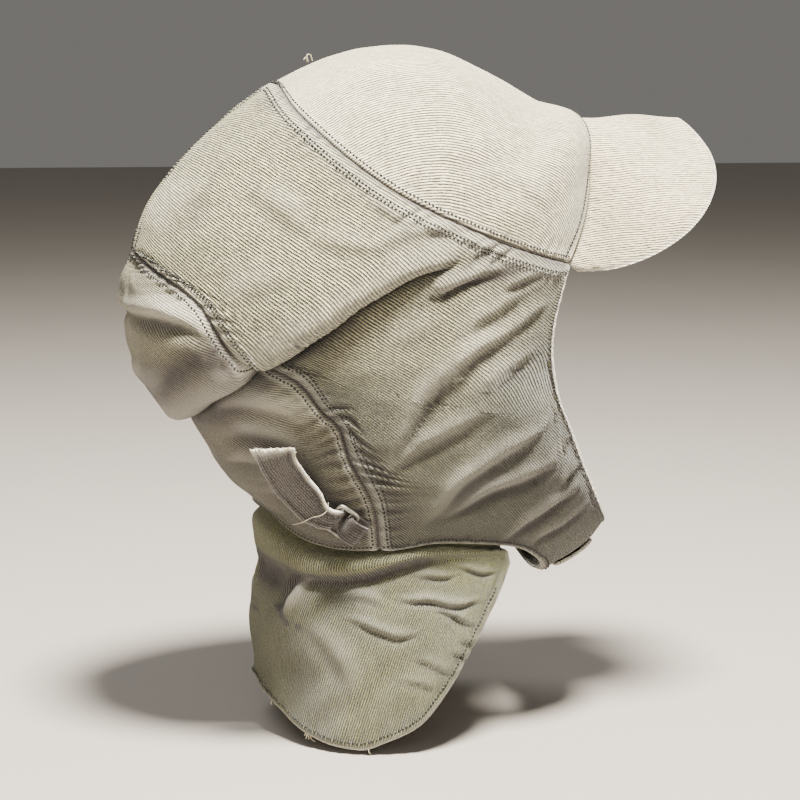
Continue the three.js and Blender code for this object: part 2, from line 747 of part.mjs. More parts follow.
const cap = new THREE.Group();
cap.add(piece('crown_front_panel', spanningPanel(topSeam, CELLS.topSeam, peakJoint), COLOURS.crown));
cap.add(piece('side_panel_right', sidePanel(1), COLOURS.side));
cap.add(piece('side_panel_left', sidePanel(-1), COLOURS.side));
cap.add(piece('back_panel', spanningPanel(backSeam, CELLS.backSeam, napeEdge), COLOURS.back));
cap.add(piece('peak', peakGeometry(), COLOURS.peak));
cap.add(piece('neck_flap', neckFlap(), COLOURS.flap));
cap.add(piece('chin_tab', chinTab(), COLOURS.side));
cap.add(piece('nape_strap', napeStrap(), COLOURS.strap));
cap.add(piece('short_tab', shortTab(), COLOURS.strap));
cap.add(slideBuckle());

export default cap;
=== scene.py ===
# Dressed model of the winter deck cap: corded cotton panels with their folds, seams, stitches
# and worn edges, in metres on the frame's own axes. Lengths below are millimetres.
import math

import bpy
import numpy as np
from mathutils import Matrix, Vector


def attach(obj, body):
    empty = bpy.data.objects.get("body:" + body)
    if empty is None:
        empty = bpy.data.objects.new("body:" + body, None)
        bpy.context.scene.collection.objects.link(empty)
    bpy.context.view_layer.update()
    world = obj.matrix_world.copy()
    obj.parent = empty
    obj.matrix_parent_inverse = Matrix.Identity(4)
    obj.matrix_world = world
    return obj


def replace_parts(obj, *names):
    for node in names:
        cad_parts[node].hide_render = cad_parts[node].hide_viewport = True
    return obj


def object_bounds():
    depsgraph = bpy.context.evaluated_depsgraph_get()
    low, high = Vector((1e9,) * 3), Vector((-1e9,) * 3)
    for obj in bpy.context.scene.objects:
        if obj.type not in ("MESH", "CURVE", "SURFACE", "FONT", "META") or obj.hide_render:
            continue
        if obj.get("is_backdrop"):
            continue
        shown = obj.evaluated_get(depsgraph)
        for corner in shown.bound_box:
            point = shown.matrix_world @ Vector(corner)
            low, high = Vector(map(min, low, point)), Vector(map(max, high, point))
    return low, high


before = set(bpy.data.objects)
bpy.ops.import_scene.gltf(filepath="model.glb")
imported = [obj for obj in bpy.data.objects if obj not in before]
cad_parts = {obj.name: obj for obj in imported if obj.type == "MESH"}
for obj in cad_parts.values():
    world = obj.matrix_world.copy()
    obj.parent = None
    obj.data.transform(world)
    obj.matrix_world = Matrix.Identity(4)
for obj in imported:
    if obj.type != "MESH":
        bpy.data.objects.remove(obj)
carried_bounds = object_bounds()

# Camera and view
AZIMUTH = math.radians(258)
ELEVATION = math.radians(8)
CAMERA_DISTANCE = 1150.0
VIEW_WIDTH = 424.0
SENSOR = 36.0
AIM = np.array([0.0, 0.0, -182.0])
FLOOR_HEIGHT = -351.5

# Cap sizes
CLOTH = 1.3
HALF_WIDTH = 88.0
FULLNESS = 2.3
CENTRE = np.array([-12.0, -123.0])
CAD_CLOTH = 2.2
FLAP_GAP = 1.25
FLAP_TUCK = 5.0
HEM_DROP = 1.3
ROLL_OUT = 4.5
ROLL_IN = 3.5
PEAK_GAP = 0.2
PEAK_CROWN = 0.7
PEAK_THICKNESS = 2.8
LAY_GAP = 0.95
STRAP_WIDTH = 22.0
STRAP_THICKNESS = 1.6
BUCKLE_WIRE = 2.0
BAR_OFFSET = 5.5
BAR_GAP = 1.75
STRAP_NECK_WIDTH = 12.0
STRAP_NECK_END = 18.0
STRAP_RUN_LENGTH = 36.0
STRAP_END_LENGTH = 46.0
STRAP_END_LIFT = 5.0
SHORT_TAB_LENGTH = 9.0
STRAP_STEP = 1.6
BEND_POINTS = 13
BUCKLE_SQUARENESS = 0.28
STITCH_LENGTH = 1.45
STITCH_GAP = 0.65
GATHER_PITCH = 6.9
RIB_PITCH = 1.54
RIB_TURN = math.radians(30) + 0.08
UV_SCALE = 0.1

# Grids: shares at which a side panel's edges change, cells, and how much closer cells lie at the ends
SIDE_TOP_SPLIT = 0.56
SIDE_LEFT_SPLIT = 0.32
SIDE_COLUMNS, SIDE_ROWS = 236, 200
PEAK_COLUMNS, PEAK_ROWS = 190, 84
FLAP_COLUMNS, FLAP_ROW_COUNT = 260, 110
COLUMN_GRADING = 0.45
ROW_GRADING = 0.5

# Mid-line of the hood in the side view: forward, height
OUTLINE = [
    (94, -33), (69, -24), (41, -8), (13, 2), (-23, 1), (-63, -14), (-93, -34), (-119, -60),
    (-137, -92), (-141, -120), (-136, -145), (-122, -170), (-107, -195), (-92, -220),
    (-75, -236), (-62, -264), (-24, -292), (14, -293), (71, -276), (106, -252), (103, -224),
    (96, -190), (95, -150), (98, -104), (98, -62),
]
# Seams and edges of the wearer's right: forward, height
TOP_SEAM = [
    (-66, -16), (-63, -29), (-49, -45), (-33, -59), (-18, -69.5), (-2, -78), (8, -82.6), (17, -86.6), (26, -90.4),
    (35, -94), (44, -97.2), (54, -100.4), (64, -103.3), (75, -106),
]
FACE_EDGE = [(75, -106), (67, -132), (65, -152), (70, -176), (85, -209), (97, -231), (107, -248)]
LOWER_EDGE = [(-24, -249), (6, -247), (46, -252), (64, -262), (72, -276)]
BACK_SEAM = [
    (-142, -101), (-134, -107), (-112, -124), (-89, -150), (-69, -160), (-57, -174),
    (-44, -193), (-31, -220), (-24, -249),
]
NAPE_EDGE = [(-76, -236), (-62, -245), (-44, -250), (-24, -249)]
PEAK_JOINT = [(94, -33), (95, -50), (91, -70), (84, -90), (75, -106)]
# Rim of the peak from its middle to its right corner: across, forward, height
PEAK_RIM = [
    (0, 154, -34), (22, 162, -49), (40, 160, -63), (54, 151, -77), (63, 137, -90),
    (67, 118, -101), (66, 98, -108), (60, 79, -111),
]
# Neck form: height, back reach, half-width, front reach
NECK_FORM = [
    (-228, 80, 61, 110), (-250, 77, 64, 110), (-280, 78, 72, 105), (-310, 82, 77, 100),
    (-350, 84, 81, 100),
]
FLAP_TOP = [(42, -252), (6, -247), (-24, -249), (-44, -250), (-62, -245), (-76, -236)]
# Edges of the flap: forward, height of the roll's foot, height of the free edge
FLAP_EDGES = [
    (42, -255, -259), (37, -255, -268), (28, -254, -283), (8, -253, -318), (-5, -254, -336),
    (-20, -257, -345), (-31, -260, -349), (-57, -263, -343), (-78, -260, -328),
]
# Drape of the flap: 0 in the roll and 1 in the skirt, share fallen, share that it stands out
FLAP_ROWS = [
    (0, 0.3, 0.7), (0, 0.75, 1), (0, 1, 0.4), (1, 0.05, -0.7), (1, 0.14, -0.1),
    (1, 0.28, 0.15), (1, 0.45, 0.1), (1, 0.63, 0), (1, 0.82, 0), (1, 1, 0),
]
STRAP_LINE = [(-43, -230), (-52, -222), (-65, -211), (-83, -193)]
STRAP_END_EDGES = [
    [(-41, -224), (-48, -221), (-51, -213), (-60, -201), (-65, -193), (-65, -188)],
    [(-43, -232), (-50, -232), (-57, -229), (-64, -220), (-73, -209), (-82, -190)],
]
# Line round which shadow is painted on the back panel beside the nape strap: forward, height
STRAP_SHADOW = [(-88, -196), (-76, -206), (-60, -222), (-42, -237)]
CHIN_TAB = {"length": 46.0, "width": 24.0, "place": (91, -264)}

# Overhanging folds: line, bulge, reach above, tuck, edge, drop over the tuck, drop's width
FOLDS = [
    {
        "line": [(-130, -183), (-118, -177), (-107, -165), (-93, -154), (-76, -142), (-57, -131),
                 (-39, -119), (-21, -107.5), (-8, -102), (6, -99), (18, -97), (28, -96)],
        "bulge": 9.0, "reach": 30.0, "tuck": 6.0, "edge": 3.6, "drop": 8.0, "width": 5.5,
        "front": 0.62, "below": 1.2, "end": 0.2,
    },
    {
        "line": [(0, -117), (5, -114), (14, -111), (24, -109), (36, -106), (44, -104)],
        "bulge": 2.6, "reach": 12.0, "tuck": 3.2, "edge": 2.4, "drop": 2.6, "width": 3.2,
        "front": 0.9, "below": 0.0, "end": 0.12,
    },
]
# Wrinkles of the right side: line, depth, width of the valley, height of the ridge above it
WRINKLES_RIGHT = [
    ([(-24, -206), (-8, -184), (0, -170), (17, -155), (32, -146), (62, -126)], 2.6, 4.6, 1.7),
    ([(12, -176), (30, -165), (46, -156), (60, -144)], 1.7, 3.6, 1.2),
    ([(-8, -240), (8, -228), (24, -213), (40, -203), (52, -196), (72, -184)], 2.5, 4.6, 1.7),
    ([(0, -238), (16, -229), (31, -223), (44, -218), (58, -212), (78, -204)], 2.2, 3.8, 1.4),
    ([(36, -250), (48, -244), (60, -237), (72, -229), (88, -220)], 2.0, 3.4, 1.3),
    ([(50, -256), (64, -249), (80, -240), (94, -230)], 1.4, 2.8, 0.9),
    ([(60, -206), (70, -200), (80, -193)], 1.5, 2.0, 0.8),
    ([(54, -192), (64, -184), (71, -176)], 1.3, 2.2, 0.8),
    ([(66, -222), (76, -215), (87, -208)], 1.3, 2.0, 0.8),
    ([(-26, -212), (-8, -200), (12, -190), (38, -172)], 1.5, 4.5, 1.1),
    ([(4, -146), (20, -137), (38, -128), (56, -116)], 1.3, 4.0, 0.9),
    ([(30, -120), (44, -116), (60, -110)], 1.2, 2.4, 0.8),
    ([(40, -140), (52, -133), (64, -124)], 1.0, 2.4, 0.7),
    ([(-30, -150), (-12, -142), (8, -130)], 0.9, 5.0, 0.6),
    ([(-113, -76), (-99, -59), (-83, -44), (-66, -31)], -1.6, 6.5, 0.0),
    ([(-131, -101), (-116, -81), (-102, -61)], 1.6, 6.5, 0.9),
    ([(-92, -73), (-82, -59), (-72, -46)], -1.2, 5.5, 0.0),
    ([(-94, -66), (-84, -76), (-70, -86), (-58, -92)], 1.3, 6.0, 0.7),
    ([(-70, -94), (-48, -98), (-22, -98)], 1.0, 5.0, 0.6),
    ([(-40, -100), (-14, -92), (8, -88), (32, -86)], 1.0, 3.6, 0.7),
    ([(-36, -70), (-26, -80), (-10, -86)], 1.0, 3.4, 0.6),
    ([(-100, -128), (-86, -118), (-66, -108)], 0.8, 5.5, 0.5),
    ([(10, -90), (26, -98), (40, -102)], 0.8, 2.2, 0.5),
]
WRINKLES_LEFT = [
    ([(-12, -186), (4, -170), (22, -158), (40, -150), (58, -140)], 1.6, 4.5, 1.1),
    ([(0, -226), (20, -214), (42, -207), (64, -196)], 1.7, 4.0, 1.2),
    ([(30, -240), (48, -230), (70, -224)], 1.2, 3.5, 0.9),
    ([(-16, -208), (4, -200), (26, -184)], 1.0, 4.0, 0.8),
    ([(-118, -84), (-100, -62), (-78, -42)], -1.3, 6.5, 0.0),
    ([(-104, -96), (-86, -78), (-70, -62)], 1.2, 6.0, 0.6),
    ([(-50, -88), (-30, -94), (-8, -96)], 0.9, 5.0, 0.5),
    ([(14, -136), (34, -128), (52, -116)], 0.9, 4.0, 0.7),
]
WRINKLES_BACK = [
    ([(-150, -131), (-134, -132), (-120, -134), (-108, -141)], 3.4, 4.6, 2.0),
    ([(-140, -158), (-131, -164), (-122, -168)], 2.2, 4.5, 1.2),
    ([(-134, -116), (-124, -122), (-112, -134)], 1.2, 5.0, 0.9),
    ([(-110, -180), (-96, -176), (-78, -178), (-64, -186)], 2.0, 6.0, 1.2),
    ([(-106, -194), (-88, -192), (-66, -198)], 1.6, 5.0, 1.2),
    ([(-100, -206), (-92, -206), (-84, -208)], 1.2, 3.5, 0.8),
    ([(-88, -222), (-72, -226), (-54, -236), (-40, -240)], 1.6, 3.6, 1.2),
    ([(-90, -214), (-72, -220), (-54, -226)], 0.8, 3.0, 0.5),
]
WRINKLES_FRONT = [
    ([(-40, -20), (-10, -18), (20, -24)], 0.8, 8.0, 0.4),
    ([(30, -62), (52, -70), (70, -82)], 0.8, 5.0, 0.4),
    ([(0, -52), (30, -56), (58, -50)], 0.7, 7.0, 0.3),
]
FLAP_WRINKLES = [
    ([(-10, -262), (0, -264), (9, -265), (18, -262)], 1.3, 1.7, 0.6),
    ([(12, -258), (22, -262), (30, -264), (40, -263)], 1.2, 1.6, 0.6),
    ([(-24, -271), (-12, -275), (0, -276), (14, -279), (26, -278), (34, -276)], 1.7, 1.9, 0.9),
    ([(-4, -279), (6, -281), (17, -287), (29, -290)], 1.3, 1.7, 0.7),
    ([(-14, -303), (-4, -306), (6, -311), (16, -313)], 0.9, 1.8, 0.6),
    ([(-20, -313), (-8, -317), (6, -321)], 0.8, 1.8, 0.5),
    ([(-48, -281), (-38, -285), (-28, -290), (-18, -294), (-8, -292), (0, -288)], 1.3, 2.3, 0.9),
    ([(-44, -271), (-32, -275), (-20, -279)], 0.8, 2.6, 0.6),
    ([(-54, -262), (-63, -267), (-70, -275), (-72, -288)], 2.8, 2.6, 2.2),
    ([(-66, -286), (-56, -298), (-46, -312), (-40, -328)], 0.8, 5.0, 0.6),
    ([(12, -294), (20, -298), (28, -300)], 0.9, 1.5, 0.4),
    ([(6, -300), (15, -304), (24, -307)], 0.9, 1.5, 0.4),
]
# Shadow under the flap's roll: forward, height
ROLL_SHADOW = [(-78, -261), (-57, -265), (-31, -263), (-5, -256), (42, -255)]
# Dark stains on the flap: forward, height, size
STAINS = [
    (-80, -285, 1.0), (-80, -289, 0.9), (-73, -283, 1.3), (-71, -286, 1.2), (-69, -289, 1.0), (-64, -290, 1.2),
]
# Thread hanging from the strap: forward, height, lift
LOOSE_THREAD = [
    (-48, -218, 10), (-48, -221, 11), (-50, -224, 11.5), (-53, -226, 11), (-57, -230, 10.5), (-60, -232, 10),
]
# Thread ends on the top of the crown: across, forward, height
CROWN_NUB = [
    [(0, -46, -4.6), (-1, -47, -1.4), (0.5, -49, -1.6), (1.5, -48.5, -5.2)],
    [(1, -49, -5.0), (3, -50, -2.8), (5.5, -51.5, -4.0)],
]
FLAP_FRAYS = [0.302, 0.306, 0.309, 0.313, 0.21, 0.41]


def lerp(a, b, t):
    return a + (b - a) * t


def smooth(low, high, value):
    t = np.clip((value - low) / (high - low), 0, 1)
    return t * t * (3 - 2 * t)


def bell(value, width):
    return np.exp(-((value / width) ** 2))


def unit(v):
    return v / np.maximum(np.linalg.norm(v, axis=-1, keepdims=True), 1e-12)


def dot(a, b):
    return np.sum(a * b, axis=-1)


def waves(u, v, length, seed):
    """Smooth seeded unevenness of about unit size over the plane, with this mean wavelength."""
    rng = np.random.default_rng(seed)
    total = np.zeros(np.broadcast(u, v).shape)
    for _ in range(9):
        turn = rng.uniform(0, 2 * math.pi)
        k = 2 * math.pi / (length * rng.uniform(0.65, 1.6))
        phase = rng.uniform(0, 2 * math.pi)
        total += np.sin(k * (math.cos(turn) * u + math.sin(turn) * v) + phase)
    return total / 3.0


def read_table(keys, values, x):
    """Smooth values between the rows of a table with rising keys."""
    keys = np.asarray(keys, float)
    values = np.asarray(values, float)
    n = len(keys)
    low = np.maximum(np.arange(n) - 1, 0)
    high = np.minimum(np.arange(n) + 1, n - 1)
    slopes = (values[high] - values[low]) / (keys[high] - keys[low])
    i = np.clip(np.searchsorted(keys, x, side="right") - 1, 0, n - 2)
    span = keys[i + 1] - keys[i]
    t = np.clip((x - keys[i]) / span, 0, 1)
    t2 = t * t
    t3 = t2 * t
    return (
        (2 * t3 - 3 * t2 + 1) * values[i] + (t3 - 2 * t2 + t) * span * slopes[i]
        + (3 * t2 - 2 * t3) * values[i + 1] + (t3 - t2) * span * slopes[i + 1]
    )


def catmull(points, t):
    """Centripetal curve through the points, read at t from 0 to 1 over its spans."""
    p = np.asarray(points, float)
    p = np.vstack([2 * p[0] - p[1], p, 2 * p[-1] - p[-2]])
    spans = len(p) - 3
    s = np.clip(np.asarray(t, float) * spans, 0, spans - 1e-9)
    i = s.astype(int)
    u = (s - i)[..., None]
    p0, p1, p2, p3 = p[i], p[i + 1], p[i + 2], p[i + 3]
    d0 = np.maximum(np.sqrt(np.linalg.norm(p1 - p0, axis=-1, keepdims=True)), 1e-4)
    d1 = np.maximum(np.sqrt(np.linalg.norm(p2 - p1, axis=-1, keepdims=True)), 1e-4)
    d2 = np.maximum(np.sqrt(np.linalg.norm(p3 - p2, axis=-1, keepdims=True)), 1e-4)
    m1 = ((p1 - p0) / d0 - (p2 - p0) / (d0 + d1) + (p2 - p1) / d1) * d1
    m2 = ((p2 - p1) / d1 - (p3 - p1) / (d1 + d2) + (p3 - p2) / d2) * d1
    u2 = u * u
    u3 = u2 * u
    return (2 * u3 - 3 * u2 + 1) * p1 + (u3 - 2 * u2 + u) * m1 + (3 * u2 - 2 * u3) * p2 + (u3 - u2) * m2


# Radius of the mid-line about the centre, by angle from straight ahead
_rel = np.array(OUTLINE, float) - CENTRE
_angle = np.arctan2(_rel[:, 1], _rel[:, 0]) % (2 * math.pi)
_order = np.argsort(_angle)
_angle = _angle[_order]
_radius = np.hypot(_rel[:, 0], _rel[:, 1])[_order]
OUTLINE_ANGLES = np.concatenate([_angle[-3:] - 2 * math.pi, _angle, _angle[:3] + 2 * math.pi])
OUTLINE_RADII = np.concatenate([_radius[-3:], _radius, _radius[:3]])


def outline_radius(angle):
    return read_table(OUTLINE_ANGLES, OUTLINE_RADII, np.asarray(angle) % (2 * math.pi))


def side_direction(rows):
    """Directions (across, forward, height) of places named in the side view."""
    rel = np.asarray(rows, float) - CENTRE
    angle = np.arctan2(rel[..., 1], rel[..., 0])
    level = np.minimum(np.hypot(rel[..., 0], rel[..., 1]) / outline_radius(angle), 1)
    return np.stack([np.sqrt(1 - level**2), level * np.cos(angle), level * np.sin(angle)], -1)


def plain_form(directions):
    d = unit(directions)
    level = np.minimum(np.hypot(d[..., 1], d[..., 2]), 1)
    angle = np.arctan2(d[..., 2], d[..., 1])
    reach = outline_radius(angle) * level
    across = HALF_WIDTH * (1 - level**FULLNESS) ** (1 / FULLNESS) * np.sign(d[..., 0])
    return np.stack([across, CENTRE[0] + reach * np.cos(angle), CENTRE[1] + reach * np.sin(angle)], -1)


def frame_of(directions):
    """Two unit tangents of the direction sphere at each direction."""
    d = unit(directions)
    a = np.stack([-d[..., 2], np.zeros_like(d[..., 0]), d[..., 0]], -1)
    b = np.stack([np.zeros_like(d[..., 0]), d[..., 2], -d[..., 1]], -1)
    short = np.linalg.norm(a, axis=-1, keepdims=True) < 0.3
    axis = np.where(short, b, a)
    a = unit(np.cross(axis, d))
    return d, a, unit(np.cross(d, a))


def plain_normal(directions):
    d, a, b = frame_of(directions)
    step = 0.004
    ta = plain_form(d + step * a) - plain_form(d - step * a)
    tb = plain_form(d + step * b) - plain_form(d - step * b)
    return unit(np.cross(ta, tb))


def step_on_form(directions, vector, parts=4):
    """Directions moved over the form by a vector in millimetres."""
    d = unit(directions)
    h = 0.002
    for _ in range(parts):
        d, a, b = frame_of(d)
        here = plain_form(d)
        ta = (plain_form(d + h * a) - here) / h
        tb = (plain_form(d + h * b) - here) / h
        aa, ab, bb = dot(ta, ta), dot(ta, tb), dot(tb, tb)
        va, vb = dot(vector, ta) / parts, dot(vector, tb) / parts
        det = aa * bb - ab * ab
        d = unit(d + a * ((va * bb - vb * ab) / det)[..., None] + b * ((vb * aa - va * ab) / det)[..., None])
    return d


def mirrored(v):
    return v * np.array([-1.0, 1.0, 1.0])


def direction_path(rows, starts_on_mid_line=False, ends_on_mid_line=False):
    """Function of a share of length that gives directions along a seam."""
    knots = side_direction(rows)
    before, after = 0, 0
    if starts_on_mid_line:
        knots[0, 0] = 0
        knots[0] = unit(knots[0])
        knots = np.vstack([mirrored(knots[1]), knots])
        before = 1
    if ends_on_mid_line:
        knots[-1, 0] = 0
        knots[-1] = unit(knots[-1])
        knots = np.vstack([knots, mirrored(knots[-2])])
        after = 1
    spans = len(knots) - 1
    t = np.linspace(before / spans, 1 - after / spans, 600)
    samples = unit(catmull(knots, t))
    lengths = np.concatenate([[0], np.cumsum(np.linalg.norm(np.diff(plain_form(samples), axis=0), axis=1))])

    def path(share):
        goal = np.clip(share, 0, 1) * lengths[-1]
        return unit(np.stack([np.interp(goal, lengths, samples[:, k]) for k in range(3)], -1))

    path.length = lengths[-1]
    return path


top_seam = direction_path(TOP_SEAM, True)
face_edge = direction_path(FACE_EDGE, False, True)
lower_edge = direction_path(LOWER_EDGE, False, True)
back_seam = direction_path(BACK_SEAM, True)
nape_edge = direction_path(NAPE_EDGE, True)
peak_joint = direction_path(PEAK_JOINT, True)
flap_top = direction_path(FLAP_TOP, False, True)
strap_path = direction_path(STRAP_LINE)


def mid_line(start, end, share):
    """Directions along the mid-line between two of its places."""
    first = math.atan2(start[2], start[1])
    turn = (math.atan2(end[2], end[1]) - first + 3 * math.pi) % (2 * math.pi) - math.pi
    angle = first + turn * np.asarray(share)
    return np.stack([np.zeros_like(angle), np.cos(angle), np.sin(angle)], -1)


def joined(first, second, split):
    """One path made of two, with the change at this share."""
    def path(share):
        share = np.asarray(share)
        low = first(np.clip(share / split, 0, 1))
        high = second(np.clip((share - split) / (1 - split), 0, 1))
        return np.where((share < split)[..., None], low, high)
    return path


def graded(cells, strength):
    """Shares from 0 to 1 that lie closer together near both ends."""
    t = np.linspace(0, 1, cells + 1)
    return t - strength * np.sin(2 * math.pi * t) / (2 * math.pi)


def patch(top, bottom, left, right, us, vs):
    """Grid of directions between four sides. top and bottom run along u, left and right along v."""
    u = us[:, None, None]
    v = vs[None, :, None]
    t, b = top(us)[:, None, :], bottom(us)[:, None, :]
    lt, rt = left(vs)[None, :, :], right(vs)[None, :, :]
    total = t * (1 - v) + b * v + lt * (1 - u) + rt * u
    total = total - t[:1] * (1 - u) * (1 - v) - t[-1:] * u * (1 - v) - b[:1] * (1 - u) * v - b[-1:] * u * v
    return unit(total)


def edge_distances(points):
    """Distance of each grid point from the four sides, and the length along them."""
    columns = np.linalg.norm(np.diff(points, axis=1), axis=2)
    rows = np.linalg.norm(np.diff(points, axis=0), axis=2)
    down = np.concatenate([np.zeros((points.shape[0], 1)), np.cumsum(columns, axis=1)], 1)
    along = np.concatenate([np.zeros((1, points.shape[1])), np.cumsum(rows, axis=0)], 0)

    def squareness(border, inward):
        tangent = unit(np.gradient(border, axis=0))
        cosine = dot(tangent, unit(inward - border))
        return np.sqrt(np.maximum(1 - cosine**2, 0.04))

    return {
        "top": down * squareness(points[:, 0], points[:, 4])[:, None],
        "bottom": (down[:, -1:] - down) * squareness(points[:, -1], points[:, -5])[:, None],
        "left": along * squareness(points[0], points[4])[None, :],
        "right": (along[-1:] - along) * squareness(points[-1], points[-5])[None, :],
        "top_s": along[:, :1] + 0 * down,
        "bottom_s": along[:, -1:] + 0 * down,
        "left_s": down[:1] + 0 * along,
        "right_s": down[-1:] + 0 * along,
    }


def line_offsets(line, f, h, count=48):
    """Signed distance of places in the side view from a line, positive on its left, and share along it."""
    knots = catmull(np.array(line, float), np.linspace(0, 1, count + 1))
    steps = np.linalg.norm(np.diff(knots, axis=0), axis=1)
    lengths = np.concatenate([[0], np.cumsum(steps)])
    best = np.full(f.shape, 1e9)
    side = np.ones(f.shape)
    share = np.zeros(f.shape)
    for k in range(count):
        (f0, h0), (f1, h1) = knots[k], knots[k + 1]
        df, dh = f1 - f0, h1 - h0
        t = np.clip(((f - f0) * df + (h - h0) * dh) / (df * df + dh * dh), 0, 1)
        ef, eh = f - f0 - t * df, h - h0 - t * dh
        gap = ef * ef + eh * eh
        near = gap < best
        best = np.where(near, gap, best)
        side = np.where(near, np.sign(df * eh - dh * ef), side)
        share = np.where(near, (lengths[k] + t * steps[k]) / lengths[-1], share)
    return np.sqrt(best) * side, share, knots


def fold_relief(fold, f, h):
    """Lift over the form and push in the side view of one overhanging fold, with its crest share and painted shade.
    """
    offset, share, knots = line_offsets(fold["line"], f, h)
    offset = offset + 0.9 * waves(f, h, 34, 5)
    strength = lerp(1, fold["front"], smooth(0.35, 1.0, share)) * smooth(0, fold["end"], 1.02 - share)
    strength = strength * smooth(-0.02, 0.08, share + 0.02)
    rise = fold["bulge"] * smooth(-fold["edge"], fold["edge"], offset) * bell(offset, fold["reach"])
    dip = fold["tuck"] * bell(offset + fold["edge"] * 1.1, fold["edge"] * 1.2)
    drop = fold["drop"] * bell(offset - 0.2 * fold["width"], fold["width"]) * strength
    across = unit(knots[-1] - knots[0])
    down = np.array([across[1], -across[0]])
    crest = bell(offset - fold["edge"], fold["edge"] * 1.3) * strength
    under = np.clip(-offset, 0, None)
    # Painted shade in the fold's undercut and on the cloth below it
    shade = 1.3 * bell(offset + fold["edge"] * 1.4, fold["edge"] * 1.8) * strength
    shade = shade + fold["below"] * bell(under, 15) * smooth(0, 3, under) * strength * smooth(0.75, 0.2, share)
    return (rise - dip) * strength, drop * down[0], drop * down[1], crest, shade


def calm(f, distance):
    """Share of the main fold that is left near the top seam, where the fold runs out."""
    return 1 - 0.92 * smooth(-60, -15, f) * smooth(24, 4, distance)


def wrinkle_relief(row, f, h, seed):
    """Lift, crest share and shade share of one soft wrinkle."""
    line, depth, width, ridge = row
    offset, share, _ = line_offsets(line, f, h, 24)
    offset = offset + 0.16 * width * waves(f, h, 9 * width, seed)
    taper = smooth(0, 0.4, share) * smooth(0, 0.4, 1 - share)
    width = width * (0.45 + 0.55 * taper)
    valley = 1.35 * depth * bell(offset, 0.72 * width)
    crest = 1.3 * ridge * bell(offset - 1.5 * width, 1.2 * width)
    return (crest - valley) * taper, crest * taper, valley * taper


def unrolled(directions):
    """Places on the cloth laid flat about the side of the hood, in millimetres."""
    d = unit(directions)
    level = np.minimum(np.hypot(d[..., 1], d[..., 2]), 1)
    angle = np.arctan2(d[..., 2], d[..., 1])
    a = np.arcsin(level)
    swing = np.sin(2 * a) / 4
    reach = outline_radius(angle) * (a / 2 + swing) + HALF_WIDTH * (a / 2 - swing)
    return reach * np.cos(angle), reach * np.sin(angle)


def seam_profile(distance, roll=1.1, width=0.75):
    """The edge of a panel turns in towards its seam."""
    return -roll * bell(distance, width)


def welt(distance, low, high, height):
    """A flat raised band between two distances from an edge."""
    return height * smooth(low - 0.7, low + 0.7, distance) * smooth(0, 1, (high + 0.8 - distance) / 1.6)


def puckers(distance, along, amount, reach, seed, pitch=7.0):
    """Short ripples that run off a stitched seam."""
    phase = 2 * math.pi * along / pitch + 1.8 * waves(along, 0 * along, 42, seed)
    size = 0.55 + 0.45 * waves(along, 0 * along, 25, seed + 1)
    return 1.35 * amount * size * np.sin(phase) * smooth(0, 2, distance) * bell(distance - 3, reach)


objects = {}
panels = {}


def link(obj):
    bpy.context.scene.collection.objects.link(obj)
    return obj


def to_part(points):
    """Metres on the part's own axes from across, forward and height."""
    return np.stack([-points[..., 0], -points[..., 1], points[..., 2]], -1) * 0.001


def mesh_volume(mesh):
    mesh.calc_loop_triangles()
    order = np.empty(len(mesh.loop_triangles) * 3, dtype=np.int32)
    mesh.loop_triangles.foreach_get("vertices", order)
    at = np.empty(len(mesh.vertices) * 3, dtype=np.float32)
    mesh.vertices.foreach_get("co", at)
    p = at.reshape(-1, 3)[order.reshape(-1, 3)].astype(float)
    return float(np.sum(dot(p[:, 0], np.cross(p[:, 1], p[:, 2]))))


def make_object(name, points, faces, material):
    """Smooth mesh with its faces outwards, from points in millimetres."""
    mesh = bpy.data.meshes.new(name)
    mesh.from_pydata(to_part(points).tolist(), [], faces)
    if mesh_volume(mesh) < 0:
        mesh.flip_normals()
    mesh.polygons.foreach_set("use_smooth", np.ones(len(mesh.polygons), dtype=bool))
    mesh.materials.append(material)
    objects[name] = link(bpy.data.objects.new(name, mesh))
    return objects[name]


def grid_faces(columns, rows, offset=0, flip=False):
    i, j = np.meshgrid(np.arange(columns), np.arange(rows), indexing="ij")
    a = offset + i * (rows + 1) + j
    quads = np.stack([a, a + rows + 1, a + rows + 2, a + 1], -1).reshape(-1, 4)
    return [tuple(quad) for quad in (quads[:, ::-1] if flip else quads).tolist()]


def rim_faces(outer, inner):
    """Triangles between an outer border and an inner one with half its points."""
    faces = []
    for k in range(len(inner) - 1):
        a, b, c = outer[2 * k : 2 * k + 3]
        faces += [(a, inner[k], b), (b, inner[k], inner[k + 1]), (b, inner[k + 1], c)]
    return faces


def grid_normals(points, like):
    """Normals of a grid, turned to the side of the vectors in like."""
    normals = unit(np.cross(np.gradient(points, axis=0), np.gradient(points, axis=1)))
    return normals * np.sign(np.sum(dot(normals, like)))


